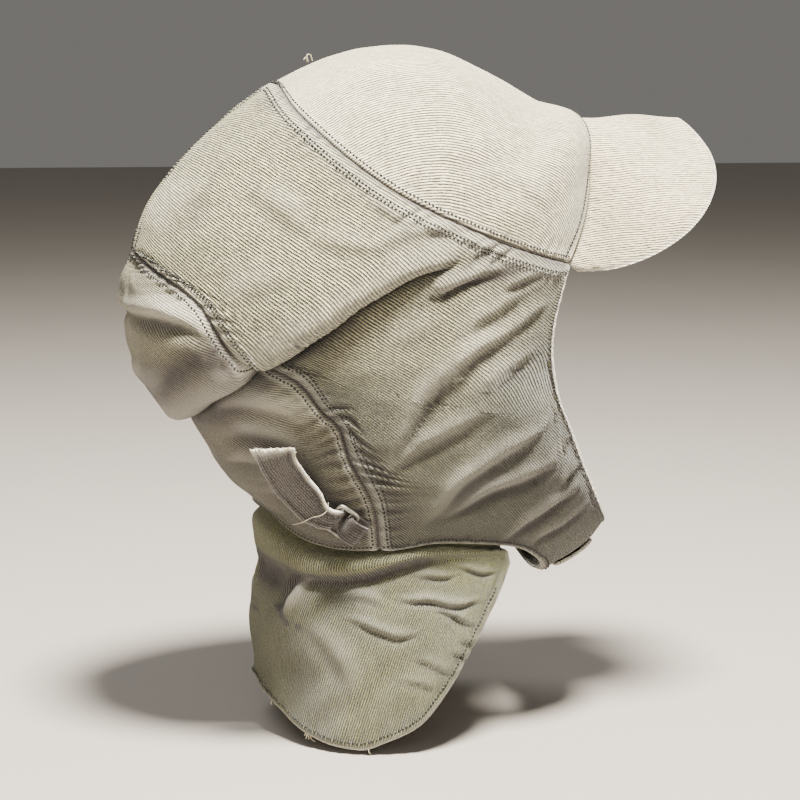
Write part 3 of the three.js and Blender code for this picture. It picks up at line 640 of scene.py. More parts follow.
def cloth_object(name, node, outer, inner, normals, edges, fields, uv, material):
    """Closed sheet from an outer grid and every second point of an inner one, in the place of a solid.
    fields are the values painted on the cloth: wear, painted shade, fade with painted light and shade, and stain."""
    columns, rows = outer.shape[0] - 1, outer.shape[1] - 1
    inner = inner[::2, ::2]
    first = outer.shape[0] * outer.shape[1]
    faces = grid_faces(columns, rows) + grid_faces(columns // 2, rows // 2, first, True)
    out = np.arange(first).reshape(outer.shape[:2])
    inn = first + np.arange(inner.shape[0] * inner.shape[1]).reshape(inner.shape[:2])
    for border in np.s_[:, 0], np.s_[::-1, -1], np.s_[-1], np.s_[0, ::-1]:
        faces += rim_faces(out[border].tolist(), inn[border].tolist())
    obj = make_object(name, np.vstack([outer.reshape(-1, 3), inner.reshape(-1, 3)]), faces, material)
    mesh = obj.data
    for key, field in fields.items():
        both = np.concatenate([field.reshape(-1), field[::2, ::2].reshape(-1)])
        mesh.attributes.new(key, "FLOAT", "POINT").data.foreach_set("value", both.astype(np.float32))
    plane = np.vstack([uv.reshape(-1, 2), uv[::2, ::2].reshape(-1, 2)]) * UV_SCALE
    layer = mesh.uv_layers.new(name="cloth")
    loop_points = np.empty(len(mesh.loops), dtype=np.int32)
    mesh.loops.foreach_get("vertex_index", loop_points)
    layer.data.foreach_set("uv", plane[loop_points].astype(np.float32).ravel())
    mesh.update()
    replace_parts(obj, node)
    return {"object": obj, "outer": outer, "normals": normals, "edges": edges}


def painted(wear, shade, fade_and_light, stain=0.0):
    fields = {"wear": wear, "shade": shade, "fade_and_light": fade_and_light, "stain": stain}
    return {key: np.clip(value + np.zeros(wear.shape), 0, 1) for key, value in fields.items()}


# Materials


class Nodes:
    """Adds and links the nodes of one material. A value is a number, a colour or a socket."""

    def __init__(self, name):
        self.material = bpy.data.materials.new(name)
        self.material.use_nodes = True
        self.tree = self.material.node_tree
        self.shader = self.tree.nodes["Principled BSDF"]
        self.place = self.add("ShaderNodeTexCoord").outputs["Object"]

    def put(self, node, inputs):
        for key, value in inputs.items():
            if isinstance(value, bpy.types.NodeSocket):
                self.tree.links.new(value, node.inputs[key])
            else:
                node.inputs[key].default_value = value

    def add(self, kind, inputs=None, **settings):
        node = self.tree.nodes.new(kind)
        for key, value in settings.items():
            setattr(node, key, value)
        self.put(node, inputs or {})
        return node

    def math(self, operation, *values, clamp=False):
        return self.add("ShaderNodeMath", dict(enumerate(values)), operation=operation, use_clamp=clamp).outputs[0]

    def chain(self, operation, values, clamp):
        total = values[0]
        for k in range(1, len(values)):
            total = self.math(operation, total, values[k], clamp=clamp and k == len(values) - 1)
        return total

    def times(self, *values, clamp=False):
        return self.chain("MULTIPLY", values, clamp)

    def plus(self, *values, clamp=False):
        return self.chain("ADD", values, clamp)

    def mix(self, share, a, b):
        return self.add("ShaderNodeMix", {0: share, 6: a, 7: b}, data_type="RGBA").outputs[2]

    def ramp(self, value, low, high):
        return self.add("ShaderNodeMapRange", {0: value, 1: low, 2: high}).outputs[0]

    def noise(self, vector, scale, detail=3.0, roughness=0.55):
        inputs = {"Vector": vector, "Scale": scale, "Detail": detail, "Roughness": roughness}
        return self.add("ShaderNodeTexNoise", inputs).outputs[0]

    def stretched(self, vector, scale):
        return self.add("ShaderNodeMapping", {"Vector": vector, "Scale": scale}).outputs[0]

    def attribute(self, name):
        return self.add("ShaderNodeAttribute", attribute_name=name).outputs["Fac"]

    def bump(self, height, strength, distance):
        inputs = {"Height": height, "Strength": strength, "Distance": distance}
        self.put(self.shader, {"Normal": self.add("ShaderNodeBump", inputs).outputs[0]})


def srgb(red, green, blue):
    """Linear colour from one given as 0 to 255."""
    def one(c):
        c /= 255
        return c / 12.92 if c <= 0.04045 else ((c + 0.055) / 1.055) ** 2.4
    return (one(red), one(green), one(blue), 1.0)


# Colour of the painted shade laid in creases, seams, recesses and under folds
PAINTED_SHADE = srgb(37, 25, 21)
FURROW = srgb(34, 34, 18)
LINT = srgb(236, 228, 204)
BARE_FIBRE = srgb(244, 238, 220)
INK = srgb(42, 38, 36)


def cloth_material(name, pale_tone, plain, furrow, rib=1.0, fine=1.0):
    """Corded cotton: ribs along the cloth's own u direction, faded, worn and stained, and with painted light and
    shade, by the painted fields.
    """
    n = Nodes(name)
    uv = n.add("ShaderNodeUVMap", uv_map="cloth").outputs[0]
    over_ribs = n.add("ShaderNodeSeparateXYZ", {0: uv}).outputs[1]
    sway = n.noise(uv, 0.9, 2.0)
    slub = n.noise(n.stretched(uv, (1.2, 7.0, 1.0)), 2.2, 3.0, 0.65)
    grain = n.noise(n.stretched(uv, (5.0, 6.5, 1.0)), 3.0, 2.0, 0.7)
    patches = n.noise(n.place, 9.0, 4.0, 0.6)
    blots = n.noise(n.place, 38.0, 3.0, 0.6)
    fade_and_light, shade, wear, stain = (n.attribute(key) for key in ("fade_and_light", "shade", "wear", "stain"))

    turn = n.times(over_ribs, 2 * math.pi / (RIB_PITCH * UV_SCALE))
    turn = n.plus(turn, n.times(sway, 5.0), n.times(slub, 3.2))
    wave = n.math("MULTIPLY_ADD", n.math("SINE", turn), 0.5, 0.5)
    uneven = [n.times(n.math("SUBTRACT", value, 0.5), size) for value, size in ((patches, 0.55), (blots, 0.35))]
    # The cloth runs to its pale tone where it is faded and where light is painted on it, and to its own colour where
    # shade is painted
    colour = n.mix(n.plus(fade_and_light, *uneven, clamp=True), plain, pale_tone)
    rib_contrast = n.math("SUBTRACT", 1.2, n.times(fade_and_light, 0.4))
    # Over that: rib furrows, dark grain specks, lint, painted shade, worn fibre and ink stains
    layers = [
        (n.times(n.math("SUBTRACT", 1.0, wave), 1.25 * rib, n.ramp(slub, 0.1, 0.55), rib_contrast, clamp=True), furrow),
        (n.times(n.ramp(grain, 0.46, 0.22), 0.5 * fine), furrow),
        (n.times(n.ramp(grain, 0.52, 0.76), 0.45 * fine), LINT),
        (n.times(n.times(shade, n.ramp(blots, -0.2, 0.5), clamp=True), 0.94), PAINTED_SHADE),
        (n.times(n.times(wear, n.ramp(grain, 0.05, 0.45), clamp=True), 0.92), BARE_FIBRE),
        (n.times(stain, n.ramp(grain, 0.2, 0.5), clamp=True), INK),
    ]
    for share, tint in layers:
        colour = n.mix(share, colour, tint)
    n.bump(n.plus(n.times(wave, 0.8 * rib), n.times(grain, 0.6 * fine), n.times(slub, 0.35)), 0.9, 0.0007)
    n.put(n.shader, {
        "Base Color": colour, "Roughness": n.math("MULTIPLY_ADD", grain, 0.12, 0.84),
        "Sheen Weight": 0.25, "Sheen Roughness": 0.6, "Specular IOR Level": 0.25,
    })
    return n.material


def thread_material(name, dark, light):
    n = Nodes(name)
    worn = n.noise(n.place, 120.0, 3.0)
    n.put(n.shader, {"Base Color": n.mix(n.ramp(worn, 0.35, 0.75), dark, light), "Roughness": n.ramp(worn, 0.0, 1.3)})
    n.bump(n.noise(n.place, 2400.0, 2.0), 0.5, 0.0002)
    return n.material


def metal_material(name, dark, light):
    n = Nodes(name)
    worn = n.noise(n.place, 160.0, 4.0)
    colour = n.mix(n.ramp(worn, 0.35, 0.7), dark, light)
    n.put(n.shader, {"Base Color": colour, "Roughness": n.ramp(worn, 1.1, 0.1), "Metallic": 1.0})
    return n.material


# Cloths: pale colour (faded cloth and painted light), colour of the cloth, colour of the furrows, depth of ribs,
# depth of grain
CLOTHS = {
    "crown_cloth": (srgb(255, 242, 202), srgb(212, 200, 144), FURROW, 1.25),
    "side_cloth": (srgb(244, 234, 174), srgb(72, 76, 16), FURROW, 2.6, 1.4),
    "back_cloth": (srgb(164, 155, 114), srgb(78, 70, 44), FURROW, 1.3, 1.3),
    "peak_cloth": (srgb(250, 232, 194), srgb(196, 184, 134), FURROW, 1.1),
    "flap_cloth": (srgb(150, 150, 76), srgb(88, 90, 34), FURROW, 2.2, 1.4),
    # The strap's dark brown is partly its own colour and partly painted shade from the overhanging crown
    "strap_cloth": (srgb(70, 58, 53), srgb(38, 29, 28), srgb(18, 15, 15), 0.6),
}
cloths = {name: cloth_material(name, *values) for name, values in CLOTHS.items()}
dark_thread = thread_material("dark_thread", srgb(20, 22, 17), srgb(40, 40, 30))
pale_thread = thread_material("pale_thread", srgb(170, 158, 130), srgb(226, 218, 196))
buckle_metal = metal_material("buckle_metal", srgb(96, 92, 84), srgb(176, 172, 162))


# Hood panels


class Relief:
    """What a panel's cloth does over its plain form: lift, push in the side view, wear and painted shade."""

    def __init__(self, plain, edges):
        self.across, self.f, self.h = plain[..., 0], plain[..., 1], plain[..., 2]
        self.edges = edges
        self.lift, self.push_f, self.push_h, self.wear, self.shade = np.zeros((5, *self.f.shape))

    def wrinkles(self, rows, f, h, seed, on, wear, shade, thins=True):
        """Adds a table of wrinkles. Where thins is set, wide ones get less shade."""
        for k, row in enumerate(rows):
            rise, crest, dark = wrinkle_relief(row, f, h, seed + k)
            self.lift += rise * on
            self.wear += wear * crest
            self.shade += shade * dark * (min(1, 3 / row[2]) if thins else 1)

    def uneven(self, u, v, on, *rows):
        """Adds soft waves. rows are height, wavelength and seed."""
        for height, length, seed in rows:
            self.lift += height * waves(u, v, length, seed) * on

    def shade_lines(self, *rows):
        """Adds lines of painted shade along edges. rows are share, distance, strength, place and width."""
        for on, distance, strength, place, width in rows:
            self.shade += on * strength * bell(distance - place, width)

    def gathers(self, side, seed, on, height, reach, shade):
        """Adds the close gathers beside the lower part of the back seam, with painted shade in their hollows."""
        distance, along = self.edges[side], self.edges[side + "_s"]
        on = on * smooth(-160, -176, self.h) * smooth(-246, -232, self.h)
        wave = np.sin(2 * math.pi * along / GATHER_PITCH + 0.9 * waves(along, 0 * along, 40, seed))
        self.lift += height * on * wave * bell(distance - 4, reach) * smooth(0, 2, distance)
        self.shade += shade * on * smooth(0.2, -0.9, wave) * bell(distance - 5, 10)

    def hem(self, distance):
        self.lift += 0.7 * smooth(5.2, 3.6, distance) - 1.8 * bell(distance, 1.0)


def build_panel(name, node, directions, relief, uv, material):
    """Dresses one grid of directions with its relief and makes its object."""
    plain, normals = plain_form(directions), plain_normal(directions)
    edges = edge_distances(plain)
    r = Relief(plain, edges)
    fade_and_light = relief(r)
    push = np.stack([0 * r.push_f, r.push_f, r.push_h], -1)
    push = push - normals * dot(push, normals)[..., None]
    outer = plain + normals * r.lift[..., None] + push
    fields = painted(r.wear, r.shade, fade_and_light)
    face_normals = grid_normals(outer, normals)
    place = uv(directions, plain, edges)
    return cloth_object(name, node, outer, outer - normals * CLOTH, face_normals, edges, fields, place, material)


def side_directions(side):
    top = joined(top_seam, face_edge, SIDE_TOP_SPLIT)
    left = joined(lambda s: mid_line(top_seam(0.0), back_seam(0.0), s), back_seam, SIDE_LEFT_SPLIT)
    right = lambda s: mid_line(face_edge(1.0), lower_edge(1.0), s)
    grid = patch(top, lower_edge, left, right, graded(SIDE_COLUMNS, COLUMN_GRADING), graded(SIDE_ROWS, ROW_GRADING))
    return grid if side > 0 else mirrored(grid)


def side_relief(wrinkles, seed):
    def relief(r):
        f, h = r.f, r.h
        us = graded(SIDE_COLUMNS, COLUMN_GRADING)[:, None]
        vs = graded(SIDE_ROWS, ROW_GRADING)[None, :]
        on_face = smooth(SIDE_TOP_SPLIT - 0.01, SIDE_TOP_SPLIT + 0.01, us) + 0 * vs
        on_seam = 1 - on_face
        on_back = smooth(SIDE_LEFT_SPLIT - 0.02, SIDE_LEFT_SPLIT + 0.02, vs) + 0 * us
        top, left, bottom = (r.edges[side] for side in ("top", "left", "bottom"))
        top_along, left_along = r.edges["top_s"], r.edges["left_s"]
        inside = smooth(0, 9, top) * smooth(0, 6, left) * smooth(0, 8, bottom)
        from_seam = top + 60 * on_face
        clear = smooth(8, 20, from_seam) * smooth(0, 6, left)
        for fold in FOLDS:
            rise, df, dh, crest, dark = fold_relief(fold, f, h)
            r.lift += rise * calm(f, from_seam) if fold is FOLDS[0] else rise * clear
            r.push_f += df * clear
            r.push_h += dh * clear
            r.wear += 0.25 * crest
            r.shade += 0.8 * dark
        r.wrinkles(wrinkles, f, h, seed, inside, 0.12, 0.42)
        r.uneven(f, h, inside, (0.45, 46, seed + 30), (0.16, 15, seed + 31))
        r.lift += on_seam * (seam_profile(top) + welt(top, 0.9, 8.0, 0.4))
        r.lift += seam_profile(left) + on_back * welt(left, 0.9, 7.4, 0.4)
        # Puckers along the seams, with painted shade in their hollows
        for ripple in (
            on_seam * puckers(top, top_along, 0.65, 10, seed + 2, 6.0),
            on_back * puckers(left, left_along, 0.85, 9, seed + 3, 6.4),
        ):
            r.lift += ripple
            r.shade += 1.5 * np.clip(-ripple, 0, 1)
        r.gathers("left", seed + 4, on_back, 0.95, 9, 0.55)
        r.lift += on_face * (1.2 * smooth(6.2, 4.8, top) - 1.9 * bell(top, 0.9) - 0.5 * bell(top - 4.5, 0.6))
        r.lift += on_face * puckers(top, top_along, 0.28, 7, seed + 5, 5.5)
        r.hem(bottom)
        r.lift += puckers(bottom, r.edges["bottom_s"], 0.3, 8, seed + 6, 8.0)
        r.wear += on_face * smooth(3.9, 3.2, top) + 0.5 * bell(bottom - 0.6, 1.0)
        r.wear += on_seam * 0.35 * bell(top - 5.0, 3.4) + on_back * 0.3 * bell(left - 3.6, 2.4)
        # Painted shade in the seam ditches, beside the stitch rows, in the face edge's groove and along the hem
        r.shade_lines(
            (on_seam, top, 1.7, 0, 1.1), (on_seam, top, 0.5, 5.4, 0.6), (on_seam, top, 0.5, 7.2, 0.6),
            (on_seam, top, 0.35, 8.9, 0.8), (on_face, top, 1.1, 4.5, 0.8), (on_face, top, 0.4, 6.8, 1.0),
            (1, left, 1.7, 0, 1.1), (on_back, left, 0.5, 4.4, 0.6), (on_back, left, 0.5, 6.2, 0.6),
            (1, bottom, 0.6, 3.3, 0.6),
        )
        r.push_h += 5.0 * smooth(62, 96, f) * smooth(-234, -258, h)
        low = smooth(-84, -135, h - 0.35 * f)
        # Painted shade: darker towards the bottom of the side, most towards its back, and low down towards the face
        r.shade += 0.30 * smooth(-150, -235, h) * smooth(20, -40, f) + 0.26 * smooth(-165, -225, h)
        r.shade += 0.2 * smooth(20, 62, f) * low
        # Paler high on the side, darker low down and towards the face: partly faded cloth, partly painted light and
        # shade for how the light falls
        fade_and_light = 0.95 - 0.32 * low - 0.54 * smooth(-132, -186, h) - 0.34 * smooth(10, 60, f) * low
        return fade_and_light + 0.14 * waves(f, h, 60, seed + 8)

    return relief


def side_uv(directions, plain, edges):
    fu, hu = unrolled(directions)
    below = np.clip(-20 - hu, 0, None)
    v = fu * math.sin(RIB_TURN) + hu * math.cos(RIB_TURN)
    v = v + 0.0026 * below * np.clip(fu, 0, None) - 0.2 * below + 0.22 * fu * smooth(0, 40, below)
    return np.stack([fu * math.cos(RIB_TURN) - hu * math.sin(RIB_TURN), v], -1)


def span_directions(seam, edge, columns, rows):
    """Grid of a panel that spans the mid-line: from the seam on the right to the seam on the left."""
    def end(share):
        share = np.asarray(share)
        right = edge(np.abs(1 - 2 * share))
        return np.where((share <= 0.5)[..., None], right, mirrored(right))

    apex = lambda s: np.repeat(seam(np.zeros(1)), len(np.atleast_1d(s)), 0)
    us, vs = graded(columns, COLUMN_GRADING), graded(rows, ROW_GRADING)
    return patch(seam, lambda s: mirrored(seam(s)), apex, end, us, vs)


def span_uv(slope, fineness=1.0, slant=0.0):
    def uv(directions, plain, edges):
        step = np.linalg.norm(np.diff(plain, axis=1), axis=2)
        arc = np.concatenate([np.zeros((plain.shape[0], 1)), np.cumsum(step, 1)], 1)
        middle = arc.shape[1] // 2
        arc = arc - arc[:, middle : middle + 1]
        along = edges["top_s"]
        across = arc * math.cos(slant) + along * math.sin(slant)
        return np.stack([along, fineness * (across + slope * along * arc / np.hypot(arc, 50))], -1)
    return uv


def front_relief(r):
    f, h, right = r.f, r.h, r.edges["right"]
    near = np.minimum(r.edges["top"], r.edges["bottom"])
    inside = smooth(0, 8, near) * smooth(0, 8, right)
    rise, *_ = fold_relief(FOLDS[0], f, h)
    r.lift += rise * calm(f, near)
    r.wrinkles(WRINKLES_FRONT, f + 0.1 * r.across, h, 80, inside, 0.1, 0.12, False)
    r.uneven(f, r.across, inside, (0.6, 60, 90), (0.15, 18, 91))
    for side, seed in ("top", 92), ("bottom", 95):
        distance = r.edges[side]
        r.lift += seam_profile(distance) + puckers(distance, r.edges[side + "_s"], 0.35, 9, seed)
        r.shade_lines((1, distance, 1.6, 0, 1.1))
        r.wear += 0.25 * bell(distance - 3.0, 1.8)
    r.lift += seam_profile(right, 0.6) + welt(right, 0.8, 5.2, 0.5)
    r.shade_lines((1, right, 0.9, 0, 0.6), (1, right, 0.8, 5.4, 0.7))
    r.wear += 0.3 * bell(right - 2.4, 1.4)
    return 0.95 - 0.35 * smooth(-50, -105, h) + 0.12 * waves(f, r.across, 70, 99)


def back_relief(r):
    f, h, right = r.f, r.h, r.edges["right"]
    near = np.minimum(r.edges["top"], r.edges["bottom"])
    inside = smooth(0, 7, near) * smooth(0, 8, right)
    rise, df, dh, crest, dark = fold_relief(FOLDS[0], f, h)
    r.lift += rise + 4.5 * smooth(-100, -118, h) * smooth(-186, -160, h) * smooth(0, 14, near)
    r.push_f += df * inside
    r.push_h += dh * inside
    r.wear += 0.25 * crest
    # Painted shade under the fold's overhang and on the underside of the bulge above it
    above, _, _ = line_offsets(FOLDS[0]["line"], f, h)
    r.shade += 1.2 * dark + 1.0 * smooth(29, 15, above) * smooth(-14, -8, above)
    r.wrinkles(WRINKLES_BACK, f - 0.06 * r.across, h, 120, inside, 0.15, 0.3)
    r.uneven(r.across, h, inside, (0.6, 42, 130), (0.25, 16, 131))
    for side, seed in ("top", 132), ("bottom", 135):
        distance = r.edges[side]
        r.lift += seam_profile(distance) + puckers(distance, r.edges[side + "_s"], 0.4, 8, seed)
        r.lift += welt(distance, 1.4, 4.4, 0.4)
        r.shade_lines((1, distance, 1.6, 0, 1.1))
        r.wear += 0.3 * bell(distance - 3.0, 1.6)
        r.gathers(side, seed + 4, 1, 0.9, 10, 0.5)
    r.hem(right)
    # Painted shadow round the nape strap, painted shade in the hem's stitch groove, and painted shade darker towards
    # the bottom
    near_strap, _, _ = line_offsets(STRAP_SHADOW, f, h, 12)
    r.shade_lines((1, near_strap, 0.6, 0, 9), (1, near_strap, 0.5, 8, 5), (1, right, 0.5, 5.4, 0.9))
    r.shade += 0.2 * smooth(-150, -200, h)
    r.wear += 0.35 * bell(right - 0.6, 1.0)
    return 0.75 - 0.5 * smooth(-140, -220, h) + 0.2 * waves(r.across, h, 50, 140)


for side, name, wrinkles, seed in (1, "right", WRINKLES_RIGHT, 11), (-1, "left", WRINKLES_LEFT, 47):
    panels[name] = build_panel(
        f"cloth_side_{name}", f"side_panel_{name}", side_directions(side), side_relief(wrinkles, seed),
        side_uv, cloths["side_cloth"],
    )
panels["front"] = build_panel(
    "cloth_crown_front", "crown_front_panel", span_directions(top_seam, peak_joint, 150, 140), front_relief,
    span_uv(0.12), cloths["crown_cloth"],
)
panels["back"] = build_panel(
    "cloth_back", "back_panel", span_directions(back_seam, nape_edge, 160, 130), back_relief,
    span_uv(0.0, 1.35, 0.9), cloths["back_cloth"],
)


def hood_point(directions, lift):
    """Point over the cloth of the hood: the folded form of the solids, lifted along its normal."""
    plain = plain_form(directions)
    rise, *_ = fold_relief({**FOLDS[0], "edge": 9.0, "tuck": 3.0}, plain[..., 1], plain[..., 2])
    return plain + plain_normal(directions) * (rise + lift)[..., None]


def middle_arc(steps, column):
    """Length along a grid's columns from its middle one."""
    arc = np.cumsum(np.linalg.norm(steps, axis=2), axis=0)
    return arc - arc[column]


# Peak


def peak_grid(columns, rows):
    share = np.linspace(1, -1, columns + 1)
    w = graded(rows, 0.35)

    def two_sided(right):
        return np.where((share < 0)[:, None], mirrored(right), right)

    directions = two_sided(peak_joint(np.abs(share)))
    joint = plain_form(directions)
    away = unit(np.cross(plain_normal(directions), np.gradient(joint, axis=0)))
    away = away * np.sign(away[:, 1:2])
    rim = np.array(PEAK_RIM, float)
    rim = np.vstack([mirrored(rim[1]), rim])
    target = two_sided(catmull(rim, lerp(1 / (len(rim) - 1), 1, np.abs(share))))
    grid = lerp(joint[:, None], target[:, None], w[None, :, None])
    grid = grid + away[:, None] * (PEAK_GAP * (1 - w))[None, :, None]
    grid[..., 2] += PEAK_CROWN * np.sin(math.pi * w)[None, :] * (1 - share**2)[:, None]
    return grid


def build_peak():
    points = peak_grid(PEAK_COLUMNS, PEAK_ROWS)
    across, forward, height = (points[..., k] for k in range(3))
    edges = edge_distances(points)
    normals = grid_normals(points, np.array([0.0, 0.0, 1.0]))
    rim = np.minimum(edges["bottom"], np.minimum(edges["left"], edges["right"]))
    joint = edges["top"]
    lift = -1.4 * bell(rim, 1.3) - 0.5 * bell(joint, 0.9)
    lift += 0.5 * waves(across, forward, 40, 160) * smooth(0, 8, rim)
    lift += puckers(joint, edges["top_s"], 0.3, 8, 161) + puckers(rim, edges["bottom_s"], 0.3, 7, 164, 9.0)
    fade_and_light = 1.05 - 0.35 * smooth(-60, -105, height) + 0.2 * waves(across, forward, 50, 163)
    steps = np.diff(points[..., [0, 2]], axis=0, prepend=points[:1, :, [0, 2]])
    # Painted shade along the peak's joint
    return cloth_object(
        "cloth_peak", "peak", points + normals * lift[..., None],
        points - normals * (PEAK_THICKNESS - 1.2 * bell(rim, 1.3))[..., None], normals, edges,
        painted(0.9 * bell(rim - 0.2, 1.1), 0.9 * bell(joint, 0.9), fade_and_light),
        np.stack([forward, 1.08 * middle_arc(steps, PEAK_COLUMNS // 2)], -1), cloths["peak_cloth"],
    )


panels["peak"] = build_peak()


# Neck flap


def neck_point(turn, height, out):
    """Point about the neck at an angle from straight ahead, a height and a distance off the form."""
    keys = [-row[0] for row in NECK_FORM]
    back, half, front = (read_table(keys, [row[k] for row in NECK_FORM], -height) for k in (1, 2, 3))
    depth = np.where(np.cos(turn) < 0, back, front)
    terms = (np.abs(np.sin(turn)) / half) ** FULLNESS + (np.abs(np.cos(turn)) / depth) ** FULLNESS
    radius = terms ** (-1 / FULLNESS) + out
    return np.stack([radius * np.sin(turn), radius * np.cos(turn), height + 0 * radius], -1)


def flap_grid():
    share = np.linspace(0, 1, FLAP_COLUMNS // 2 + 1)
    d = flap_top(share)
    inset = np.full(len(d), -CAD_CLOTH - FLAP_GAP)
    hem = hood_point(d, 0 * inset)
    turn = np.arctan2(hem[:, 0], hem[:, 1])
    keys = [-row[0] for row in FLAP_EDGES]
    roll, bottom = (read_table(keys, [row[k] for row in FLAP_EDGES], -hem[:, 1]) for k in (1, 2))
    foot = hood_point(d, inset)
    foot[:, 2] -= HEM_DROP
    seat = hood_point(step_on_form(d, np.array([0.0, 0.0, FLAP_TUCK]) + 0 * d), inset)
    size = smooth(0, 0.45, share) * (1 - 0.8 * smooth(0.6, 0.95, share))
    knots = [seat, foot]
    for part, fall, out in FLAP_ROWS:
        height = lerp(foot[:, 2], roll, fall) if part == 0 else lerp(roll, bottom, fall)
        knots.append(neck_point(turn, height, out * (ROLL_OUT if out > 0 else ROLL_IN) * size))
    rows = np.linspace(0, 1, FLAP_ROW_COUNT + 1)
    right = np.stack([catmull(column, rows) for column in np.stack(knots, 1)])
    return np.concatenate([right, mirrored(right[::-1])[1:]], 0)


def build_flap():
    points = flap_grid()
    edges = edge_distances(points)
    normals = grid_normals(points, points * np.array([1.0, 1.0, 0.0]))
    r = Relief(points, edges)
    f, h = r.f, r.h
    for right, shift_f, shift_h in (True, 0, 0), (False, 7, 5):
        on = ((r.across > 0) == right) * smooth(0, 8, np.abs(r.across))
        r.wrinkles(FLAP_WRINKLES, f + shift_f, h + shift_h, 200, on, 0.15 * on, 0.4 * on, False)
    skirt = smooth(-262, -272, h)
    arc = edges["top_s"]
    r.lift += 1.1 * waves(arc, 0.4 * h, 52, 210) * skirt + 0.3 * waves(arc, h, 17, 211) * skirt
    r.lift -= 5.0 * smooth(-290, -325, h) * smooth(-30, -72, f)
    hem = np.minimum(edges["bottom"], np.minimum(edges["left"], edges["right"]))
    r.lift += 0.45 * smooth(4.6, 3.2, hem) - 1.1 * bell(hem, 0.9) - 0.3 * bell(hem - 3.4, 0.6)
    r.lift += puckers(hem, arc, 0.5, 8, 212, 6.0)
    recess = bell(f + 74, 8) * bell(h + 268, 7) * smooth(0, 6, np.abs(r.across))
    r.lift -= 3.0 * recess
    r.wear += 0.75 * bell(hem - 0.3, 0.9)
    # Painted shade: in the groove beside the hem, under the roll towards the back, and in the recess
    below = read_table(*zip(*ROLL_SHADOW), f) - h
    to_back = smooth(16, -6, f)
    r.shade_lines((1, hem, 0.4, 4.9, 0.8), (to_back, below, 1.2, 0, 3.0), (to_back, below, 0.3, 4, 7))
    r.shade += 1.3 * recess
    stain = 0 * f
    for stain_f, stain_h, size in STAINS:
        stain += 3.0 * (r.across > 0) * bell(f - stain_f, size) * bell(h - stain_h, 1.3 * size)
    # Paler on the roll than on the skirt: faded cloth, and painted light against the hem's shadow on the roll
    fade_and_light = 1.1 - 0.55 * skirt + 0.2 * waves(arc, h, 44, 213)
    length = middle_arc(np.diff(points, axis=0, prepend=points[:1]), FLAP_COLUMNS // 2)
    slant = -0.22 * (h + 250) * length / np.hypot(length, 40)
    outer = points + normals * r.lift[..., None]
    return cloth_object(
        "cloth_neck_flap", "neck_flap", outer, outer - normals * CLOTH, normals, edges,
        painted(r.wear, r.shade, fade_and_light, stain), np.stack([-h, 1.12 * (length + slant)], -1), cloths["flap_cloth"],
    )


panels["flap"] = build_flap()


# Straps


def strap_direction(along):
    """Direction at a distance along the nape strap, from the buckle up towards the nape."""
    along = np.asarray(along, float)
    d = strap_path(along / strap_path.length)
    start = strap_path(np.zeros(1))[0]
    ahead = unit(plain_form(start) - plain_form(strap_path(np.array([0.1]))[0]))
    before = step_on_form(start + 0 * d, -np.minimum(along, 0)[..., None] * ahead)
    return np.where((along < 0)[..., None], before, d)


def strip_grid(direction_at, along, lift, width, lanes, turned=None, span=1.0):
    """Grid over the hood along a strip. turned is the share by which it follows the free end's edges."""
    columns = []
    run = np.clip((along - BAR_OFFSET) / STRAP_END_LENGTH, 0, 1)
    d = direction_at(along)
    way = plain_form(direction_at(along + 1)) - plain_form(direction_at(along - 1))
    sideways = unit(np.cross(plain_normal(d), way))
    for share in np.linspace(-0.5, 0.5, lanes + 1):
        lane = step_on_form(d, sideways * (share * width)[:, None])
        if turned is not None:
            low, high = (catmull(np.array(edge, float), run) for edge in STRAP_END_EDGES)
            aside = side_direction(lerp(low, high, (share * span + 1 - 0.5 * span)[:, None]))
            lane = unit(lerp(lane, aside, turned[:, None]))
        columns.append(hood_point(lane, lift))
    return np.stack(columns, 1)


BAR_LIFT = LAY_GAP + STRAP_THICKNESS + BAR_GAP + BUCKLE_WIRE / 2
BEND_INSIDE = BUCKLE_WIRE / 2 + BAR_GAP
BEND_OUTSIDE = BEND_INSIDE + STRAP_THICKNESS


def turned_strip(side, far, back, curl):
    """Under and upper rows of a strap that runs to a bar, turns round it and comes back above itself."""
    bar = side * BAR_OFFSET
    run = np.arange(0, 1, STRAP_STEP / abs(far - bar))
    angle = math.pi * (np.linspace(0, 1, BEND_POINTS) - 0.5)
    count = int(back / STRAP_STEP)
    share = np.arange(1, count + 1) / count
    rows = []
    for lay, radius in (LAY_GAP, BEND_OUTSIDE), (LAY_GAP + STRAP_THICKNESS, BEND_INSIDE):
        rows.append(np.vstack([
            np.stack([lerp(far, bar, run), np.full(len(run), lay)], 1),
            np.stack([bar - side * radius * np.cos(angle), BAR_LIFT + radius * np.sin(angle)], 1),
            np.stack([bar + side * share * back, BAR_LIFT + radius + curl * share**2], 1),
        ]))
    return *rows, len(run) + BEND_POINTS


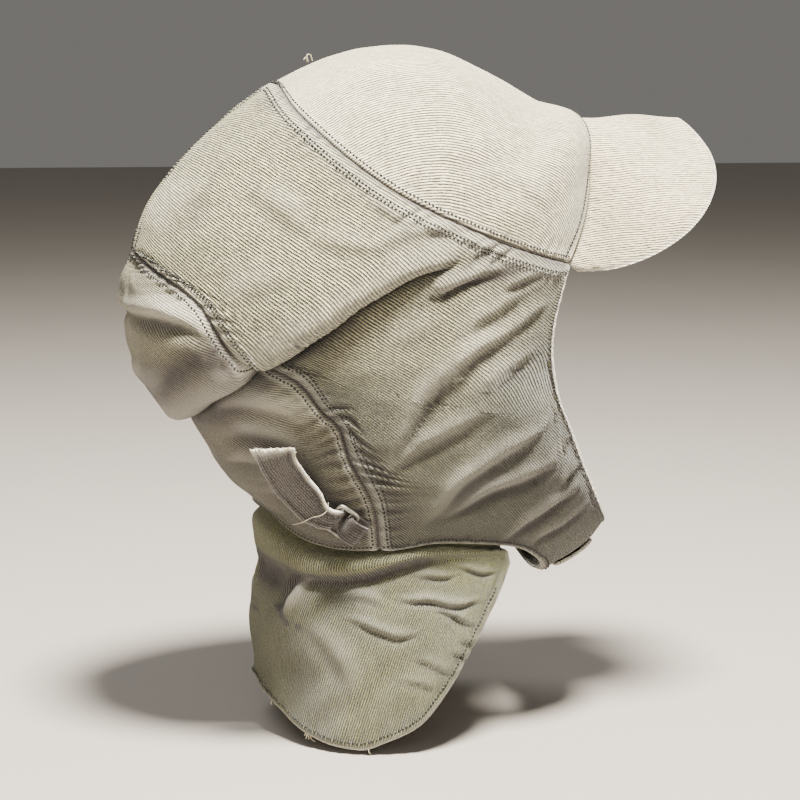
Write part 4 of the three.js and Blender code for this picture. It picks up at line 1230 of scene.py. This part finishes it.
def build_strap(name, node, rows, seed, lanes=22):
    under, upper, end_start = rows
    if len(under) % 2 == 0:
        under, upper = under[1:], upper[1:]
        end_start -= 1
    at = np.arange(len(under))
    free = node == "nape_strap"
    turned = smooth(1, 11, under[:, 0]) * free
    span = lerp(0.6, 1, smooth(end_start - 14, end_start, at))
    low, high = (
        strip_grid(
            strap_direction, row[:, 0], row[:, 1],
            lerp(STRAP_NECK_WIDTH, STRAP_WIDTH, smooth(BAR_OFFSET, STRAP_NECK_END, row[:, 0])), lanes, turned, span,
        )
        for row in (under, upper)
    )
    lane = np.linspace(-1, 1, lanes + 1)[None, :] + 0 * low[..., 0]
    share = np.abs(lane)
    width = np.linalg.norm(low[:, -1] - low[:, 0], axis=-1)[:, None]
    on_end = smooth(end_start - 6, end_start + 4, at)[:, None] * free
    steps = np.linalg.norm(np.diff(low[:, lanes // 2], axis=0), axis=1)
    length = np.concatenate([[0], np.cumsum(steps)])[:, None] + 0 * share
    to_end = length[-1:] - length
    # The face of the free end that shows is the first grid, so the strap has one outer side all along
    edge = (1 - share) * width / 2
    up = unit(low - high)
    half = 0.5 * np.linalg.norm(low - high, axis=-1) * (1 - 0.45 * bell(edge, 0.9))
    fray = 0.25 * waves(length, 3 * share, 5, seed) * bell(edge, 1.2)
    ripple = 0.22 * waves(length, 18 * share, 16, seed + 1)
    middle = 0.5 * (low + high)
    outer = middle + up * (half + fray + ripple)[..., None]
    inner = middle - up * (half - ripple)[..., None]
    pale = bell(edge, 1.3) * (0.1 + 0.9 * smooth(0.2, -0.6, lane)) + bell(to_end, 2.0)
    fade_and_light = 0.2 + 0.3 * waves(length, 8 * share, 24, seed + 2) + 0.25 * on_end * bell(to_end, 5)
    # Painted shade in the grooves beside the stitches, and over all but the free end: the run beneath it and the
    # short tab lie in shade
    fields = painted(on_end * pale, 0.5 * bell(edge - 3.4, 1.0) + 0.75 * (1 - on_end), fade_and_light)
    place = np.stack([length, 0.5 * lane * width], -1)
    return cloth_object(name, node, outer, inner, up, edge_distances(outer), fields, place, cloths["strap_cloth"])


panels["strap"] = build_strap(
    "cloth_nape_strap", "nape_strap", turned_strip(1, STRAP_RUN_LENGTH, STRAP_END_LENGTH, STRAP_END_LIFT), 300,
)
panels["short_tab"] = build_strap(
    "cloth_short_tab", "short_tab",
    turned_strip(-1, -BAR_OFFSET - SHORT_TAB_LENGTH, SHORT_TAB_LENGTH - 3, -1), 320,
)


def chin_direction(along):
    middle = side_direction(np.array(CHIN_TAB["place"], float)) * np.array([0, 1, 1])
    return step_on_form(unit(middle) + 0 * along[..., None], along[..., None] * np.array([1, 0, 0]))


def build_chin_tab(stations=41, lanes=20):
    along = np.linspace(0.5, -0.5, stations) * CHIN_TAB["length"]
    widths = CHIN_TAB["width"] * np.sqrt(np.clip(1 - ((np.abs(along) - 16) / 7).clip(0, 1) ** 2.6, 0.12, 1))
    low, high = (
        strip_grid(chin_direction, along, np.full(stations, lift), widths, lanes)
        for lift in (LAY_GAP, LAY_GAP + STRAP_THICKNESS)
    )
    lane = np.linspace(-0.5, 0.5, lanes + 1)[None, :] * widths[:, None]
    from_end = (CHIN_TAB["length"] / 2 - np.abs(along))[:, None] + 0.2
    edge = np.minimum(widths[:, None] / 2 - np.abs(lane), from_end)
    normals = unit(high - low)
    outer = high + normals * (-0.5 * bell(edge, 0.8) + 0.2 * smooth(4.4, 3.0, edge))[..., None]
    # Painted shade in the groove beside the stitches
    return cloth_object(
        "cloth_chin_tab", "chin_tab", outer, low, normals, edge_distances(outer),
        painted(0.8 * bell(edge, 1.0), 0.4 * bell(edge - 4.4, 0.8), 0.45),
        np.stack([along[:, None] + 0 * edge, lane], -1), cloths["side_cloth"],
    )


panels["chin"] = build_chin_tab()


# Wire and thread


def ring_points(centre, u, v, radius, sides):
    """Circles of points about centres, in the plane of u and v."""
    angles = np.arange(sides)[:, None] * 2 * math.pi / sides
    around = u[..., None, :] * np.cos(angles) + v[..., None, :] * np.sin(angles)
    return (centre[..., None, :] + around * np.asarray(radius)[..., None, None]).reshape(-1, 3)


def tube_faces(base, rings, sides, closed=False):
    """Quads round a tube. An open one also gets its two ends."""
    faces = []
    for i in range(rings if closed else rings - 1):
        ahead = ((i + 1) % rings - i) * sides
        for k in range(sides):
            a, b = base + i * sides + k, base + i * sides + (k + 1) % sides
            faces.append((a, b, b + ahead, a + ahead))
    if not closed:
        faces.append(tuple(range(base, base + sides))[::-1])
        faces.append(tuple(range(base + (rings - 1) * sides, base + rings * sides)))
    return faces


def build_buckle(sides=12, count=96):
    """Rounded wire loop in the place of the slide buckle."""
    middle = strap_direction(np.zeros(1))
    centre = hood_point(middle, np.full(1, BAR_LIFT))[0]
    normal = plain_normal(middle)[0]
    before, after = (plain_form(strap_direction(np.array([at])))[0] for at in (-1.0, 1.0))
    side = unit(np.cross(normal, unit(before - after)))
    along = unit(np.cross(side, normal))
    turns = np.linspace(0, 2 * math.pi, count, endpoint=False)[:, None]
    reach, half_width = (
        size * np.sign(wave) * np.abs(wave) ** BUCKLE_SQUARENESS
        for size, wave in ((BAR_OFFSET, np.cos(turns)), (STRAP_NECK_WIDTH / 2 + 1 + BUCKLE_WIRE / 2, np.sin(turns)))
    )
    line = centre + reach * along + half_width * side
    across = unit(np.cross(unit(np.roll(line, -1, 0) - np.roll(line, 1, 0)), normal))
    points = ring_points(line, normal, across, BUCKLE_WIRE / 2, sides)
    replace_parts(make_object("buckle_loop", points, tube_faces(0, count, sides, True), buckle_metal), "slide_buckle")


build_buckle()


def along_line(values, lengths, at):
    return np.stack([np.interp(at, lengths, values[:, k]) for k in range(3)], -1)


def stitches(name, rows, radius, sides=5):
    """Short thread loops along lines that lie on the cloth. rows are (points, normals)."""
    rings = np.array([(0.0, -0.55, 0.6), (0.14, 0.05, 1.0), (0.5, 0.22, 1.0), (0.86, 0.05, 1.0), (1.0, -0.55, 0.6)])
    points, faces, base = [], [], 0
    for line, normals in rows:
        lengths = np.concatenate([[0], np.cumsum(np.linalg.norm(np.diff(line, axis=0), axis=1))])
        count = int(lengths[-1] // (STITCH_LENGTH + STITCH_GAP))
        if count < 1:
            continue
        pitch = lengths[-1] / count
        at = (np.arange(count) * pitch + STITCH_GAP / 2)[:, None] + rings[None, :, 0] * (pitch - STITCH_GAP)
        centre, up = along_line(line, lengths, at), unit(along_line(normals, lengths, at))
        aside = unit(np.cross(unit(centre[:, -1:] - centre[:, :1]) + 0 * up, up))
        centre = centre + up * (rings[None, :, 1:2] * radius * 2)
        points.append(ring_points(centre, up, aside, radius * rings[None, :, 2], sides))
        for _ in range(count):
            faces += tube_faces(base, len(rings), sides)
            base += len(rings) * sides
    make_object(name, np.vstack(points), faces, dark_thread)


def strands(name, lines, radius, sides=6, stations=25):
    """Loose threads: round tubes along lines in space that thin out at both ends."""
    points, faces = [], []
    for k, line in enumerate(lines):
        path = catmull(np.array(line, float), np.linspace(0, 1, stations))
        ahead = unit(np.gradient(path, axis=0))
        aside = unit(np.cross(ahead, np.array([0.3, 0.2, 0.93])))
        thin = radius * (0.25 + 0.75 * np.sin(math.pi * np.linspace(0.08, 0.92, stations)) ** 0.5)
        points.append(ring_points(path, aside, np.cross(aside, ahead), thin, sides))
        faces += tube_faces(k * stations * sides, stations, sides)
    make_object(name, np.vstack(points), faces, pale_thread)


def edge_line(panel, side, offset, start=0.0, end=1.0):
    """Line on a panel's outer face at a distance from one side, with the face's normals."""
    piece = panels[panel]
    points, normals, distance = piece["outer"], piece["normals"], piece["edges"][side]
    if side in ("left", "right"):
        points, normals, distance = points.transpose(1, 0, 2), normals.transpose(1, 0, 2), distance.T
    if side in ("bottom", "right"):
        points, normals, distance = points[:, ::-1], normals[:, ::-1], distance[:, ::-1]
    last = points.shape[0] - 1
    line, ups = [], []
    for k in range(int(round(start * last)), int(round(end * last)) + 1):
        if distance[k].max() < offset:
            continue
        rising = np.all(np.diff(distance[k][:40]) > -1e-9)
        j = max(1, min(int(np.searchsorted(distance[k], offset)) if rising else 3, points.shape[1] - 1))
        span = max(distance[k, j] - distance[k, j - 1], 1e-6)
        t = min(max((offset - distance[k, j - 1]) / span, 0), 1)
        line.append(lerp(points[k, j - 1], points[k, j], t))
        ups.append(lerp(normals[k, j - 1], normals[k, j], t))
    return np.array(line), unit(np.array(ups))


# Stitch lines: panel, side, distance from it, first and last share of its length
SEAM_STITCHES = [
    row for name in ("right", "left") for row in (
        (name, "top", 5.4, 0.03, SIDE_TOP_SPLIT - 0.016), (name, "top", 7.2, 0.04, SIDE_TOP_SPLIT - 0.02),
        (name, "left", 4.4, SIDE_LEFT_SPLIT + 0.03, 0.985), (name, "left", 6.2, SIDE_LEFT_SPLIT + 0.04, 0.98),
        (name, "left", 3.2, 0.04, SIDE_LEFT_SPLIT - 0.03),
    )
] + [
    (name, side, distance, 0.05, 0.97)
    for side in ("top", "bottom") for name, distance in (("front", 3.0), ("back", 2.8))
] + [("front", "right", 5.3, 0.03, 0.97)]
HEM_STITCHES = [
    row for name in ("right", "left")
    for row in ((name, "top", 4.5, SIDE_TOP_SPLIT + 0.015, 0.985), (name, "bottom", 3.3, 0.02, 0.9))
] + [("back", "right", 3.3, 0.03, 0.97), ("flap", "bottom", 3.4, 0.03, 0.97)]
STRAP_STITCHES = [
    ("strap", "top", 3.2, 0, 1), ("strap", "bottom", 3.2, 0, 1), ("chin", "top", 3.0, 0.1, 0.9),
    ("chin", "bottom", 3.0, 0.1, 0.9),
]
for name, rows, radius in (
    ("stitches_seams", SEAM_STITCHES, 0.48), ("stitches_hems", HEM_STITCHES, 0.48),
    ("stitches_straps", STRAP_STITCHES, 0.24),
):
    stitches(name, [edge_line(*row) for row in rows], radius)


def frays(panel, side, places, reach, out, seed):
    """Short threads that stand off an edge of a panel."""
    rng = np.random.default_rng(seed)
    line, normals = edge_line(panel, side, 0.2, 0.02, 0.98)
    middle, _ = edge_line(panel, side, 3.0, 0.02, 0.98)
    result = []
    for place in places:
        at, root = (along_line(row, np.linspace(0, 1, len(row)), place) for row in (line, middle))
        normal = normals[int(place * (len(line) - 1))]
        away = unit(at - root)
        length = reach * rng.uniform(0.5, 1.3)
        aside = np.cross(away, normal) * rng.uniform(-0.8, 0.8) * length
        bend = normal * out * rng.uniform(0.2, 1.0)
        result.append([at - away * 0.8, at + away * 0.5 * length + bend, at + away * length + aside + 0.4 * bend])
    return result


hanging = np.array(LOOSE_THREAD, float)
rng = np.random.default_rng(77)
loose = [hood_point(side_direction(hanging[:, :2]), hanging[:, 2]), *CROWN_NUB]
loose += frays("strap", "right", np.sort(rng.uniform(0.03, 0.97, 34)), 1.5, 0.8, 78)
loose += frays("strap", "top", np.sort(rng.uniform(0.62, 0.99, 30)), 0.9, 0.7, 79)
loose += frays("flap", "bottom", FLAP_FRAYS, 2.8, 1.5, 80)
strands("loose_threads", loose, 0.26)

for name, obj in objects.items():
    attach(obj, "root")


# Stage: floor, lights and camera
floor_mesh = bpy.data.meshes.new("floor")
floor_mesh.from_pydata([(-9, -9, 0), (9, -9, 0), (9, 9, 0), (-9, 9, 0)], [], [(0, 1, 2, 3)])
floor = link(bpy.data.objects.new("floor", floor_mesh))
floor.location.z = FLOOR_HEIGHT * 0.001
paper = Nodes("floor_paper")
paper_colour = paper.mix(paper.noise(paper.place, 3.0), srgb(160, 153, 145), srgb(168, 161, 152))
paper.put(paper.shader, {"Base Color": paper_colour, "Roughness": 0.8})
floor_mesh.materials.append(paper.material)
floor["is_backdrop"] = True

world = bpy.data.worlds.new("studio")
world.use_nodes = True
world.node_tree.nodes["Background"].inputs[0].default_value = srgb(214, 210, 204)
world.node_tree.nodes["Background"].inputs[1].default_value = 0.26
bpy.context.scene.world = world


def aim_at(obj, place, way):
    """Puts a lamp or a camera in its place and turns it to look along a vector."""
    obj.location = place
    obj.rotation_euler = Vector(way).to_track_quat("-Z", "Y").to_euler()


# Lights: name, place, aim, size, power, colour
for name, place, aim, size, power, colour in (
    ("key", (-0.52, -0.08, 1.35), (0, 0, -0.12), 0.4, 206, (1.0, 0.96, 0.88)),
    ("fill", (-1.3, 0.3, 0.25), (0, 0, -0.2), 1.0, 5, (0.96, 0.98, 1.0)),
    ("rim", (0.7, 0.6, 1.0), (0, 0, -0.15), 0.9, 10, (1, 1, 1)),
):
    lamp = bpy.data.lights.new(name, "AREA")
    lamp.shape, lamp.size, lamp.energy, lamp.color = "DISK", size, power, colour
    aim_at(link(bpy.data.objects.new(name, lamp)), place, Vector(aim) - Vector(place))

camera_data = bpy.data.cameras.new("camera")
camera_data.sensor_width = SENSOR
camera_data.lens = SENSOR * CAMERA_DISTANCE / VIEW_WIDTH
camera_data.clip_start = 0.01
camera = link(bpy.data.objects.new("camera", camera_data))
back_vector = np.array([
    math.sin(AZIMUTH) * math.cos(ELEVATION), -math.cos(AZIMUTH) * math.cos(ELEVATION), math.sin(ELEVATION),
])
aim_at(camera, ((AIM + CAMERA_DISTANCE * back_vector) * 0.001).tolist(), (-back_vector).tolist())
bpy.context.scene.camera = camera


def plain_lists(value):
    if isinstance(value, dict):
        return {k: plain_lists(v) for k, v in value.items()}
    if isinstance(value, (str, int, float)) or value is None:
        return value
    return [plain_lists(v) for v in value]


{"cad": plain_lists(carried_bounds), "visual": plain_lists(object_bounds())}
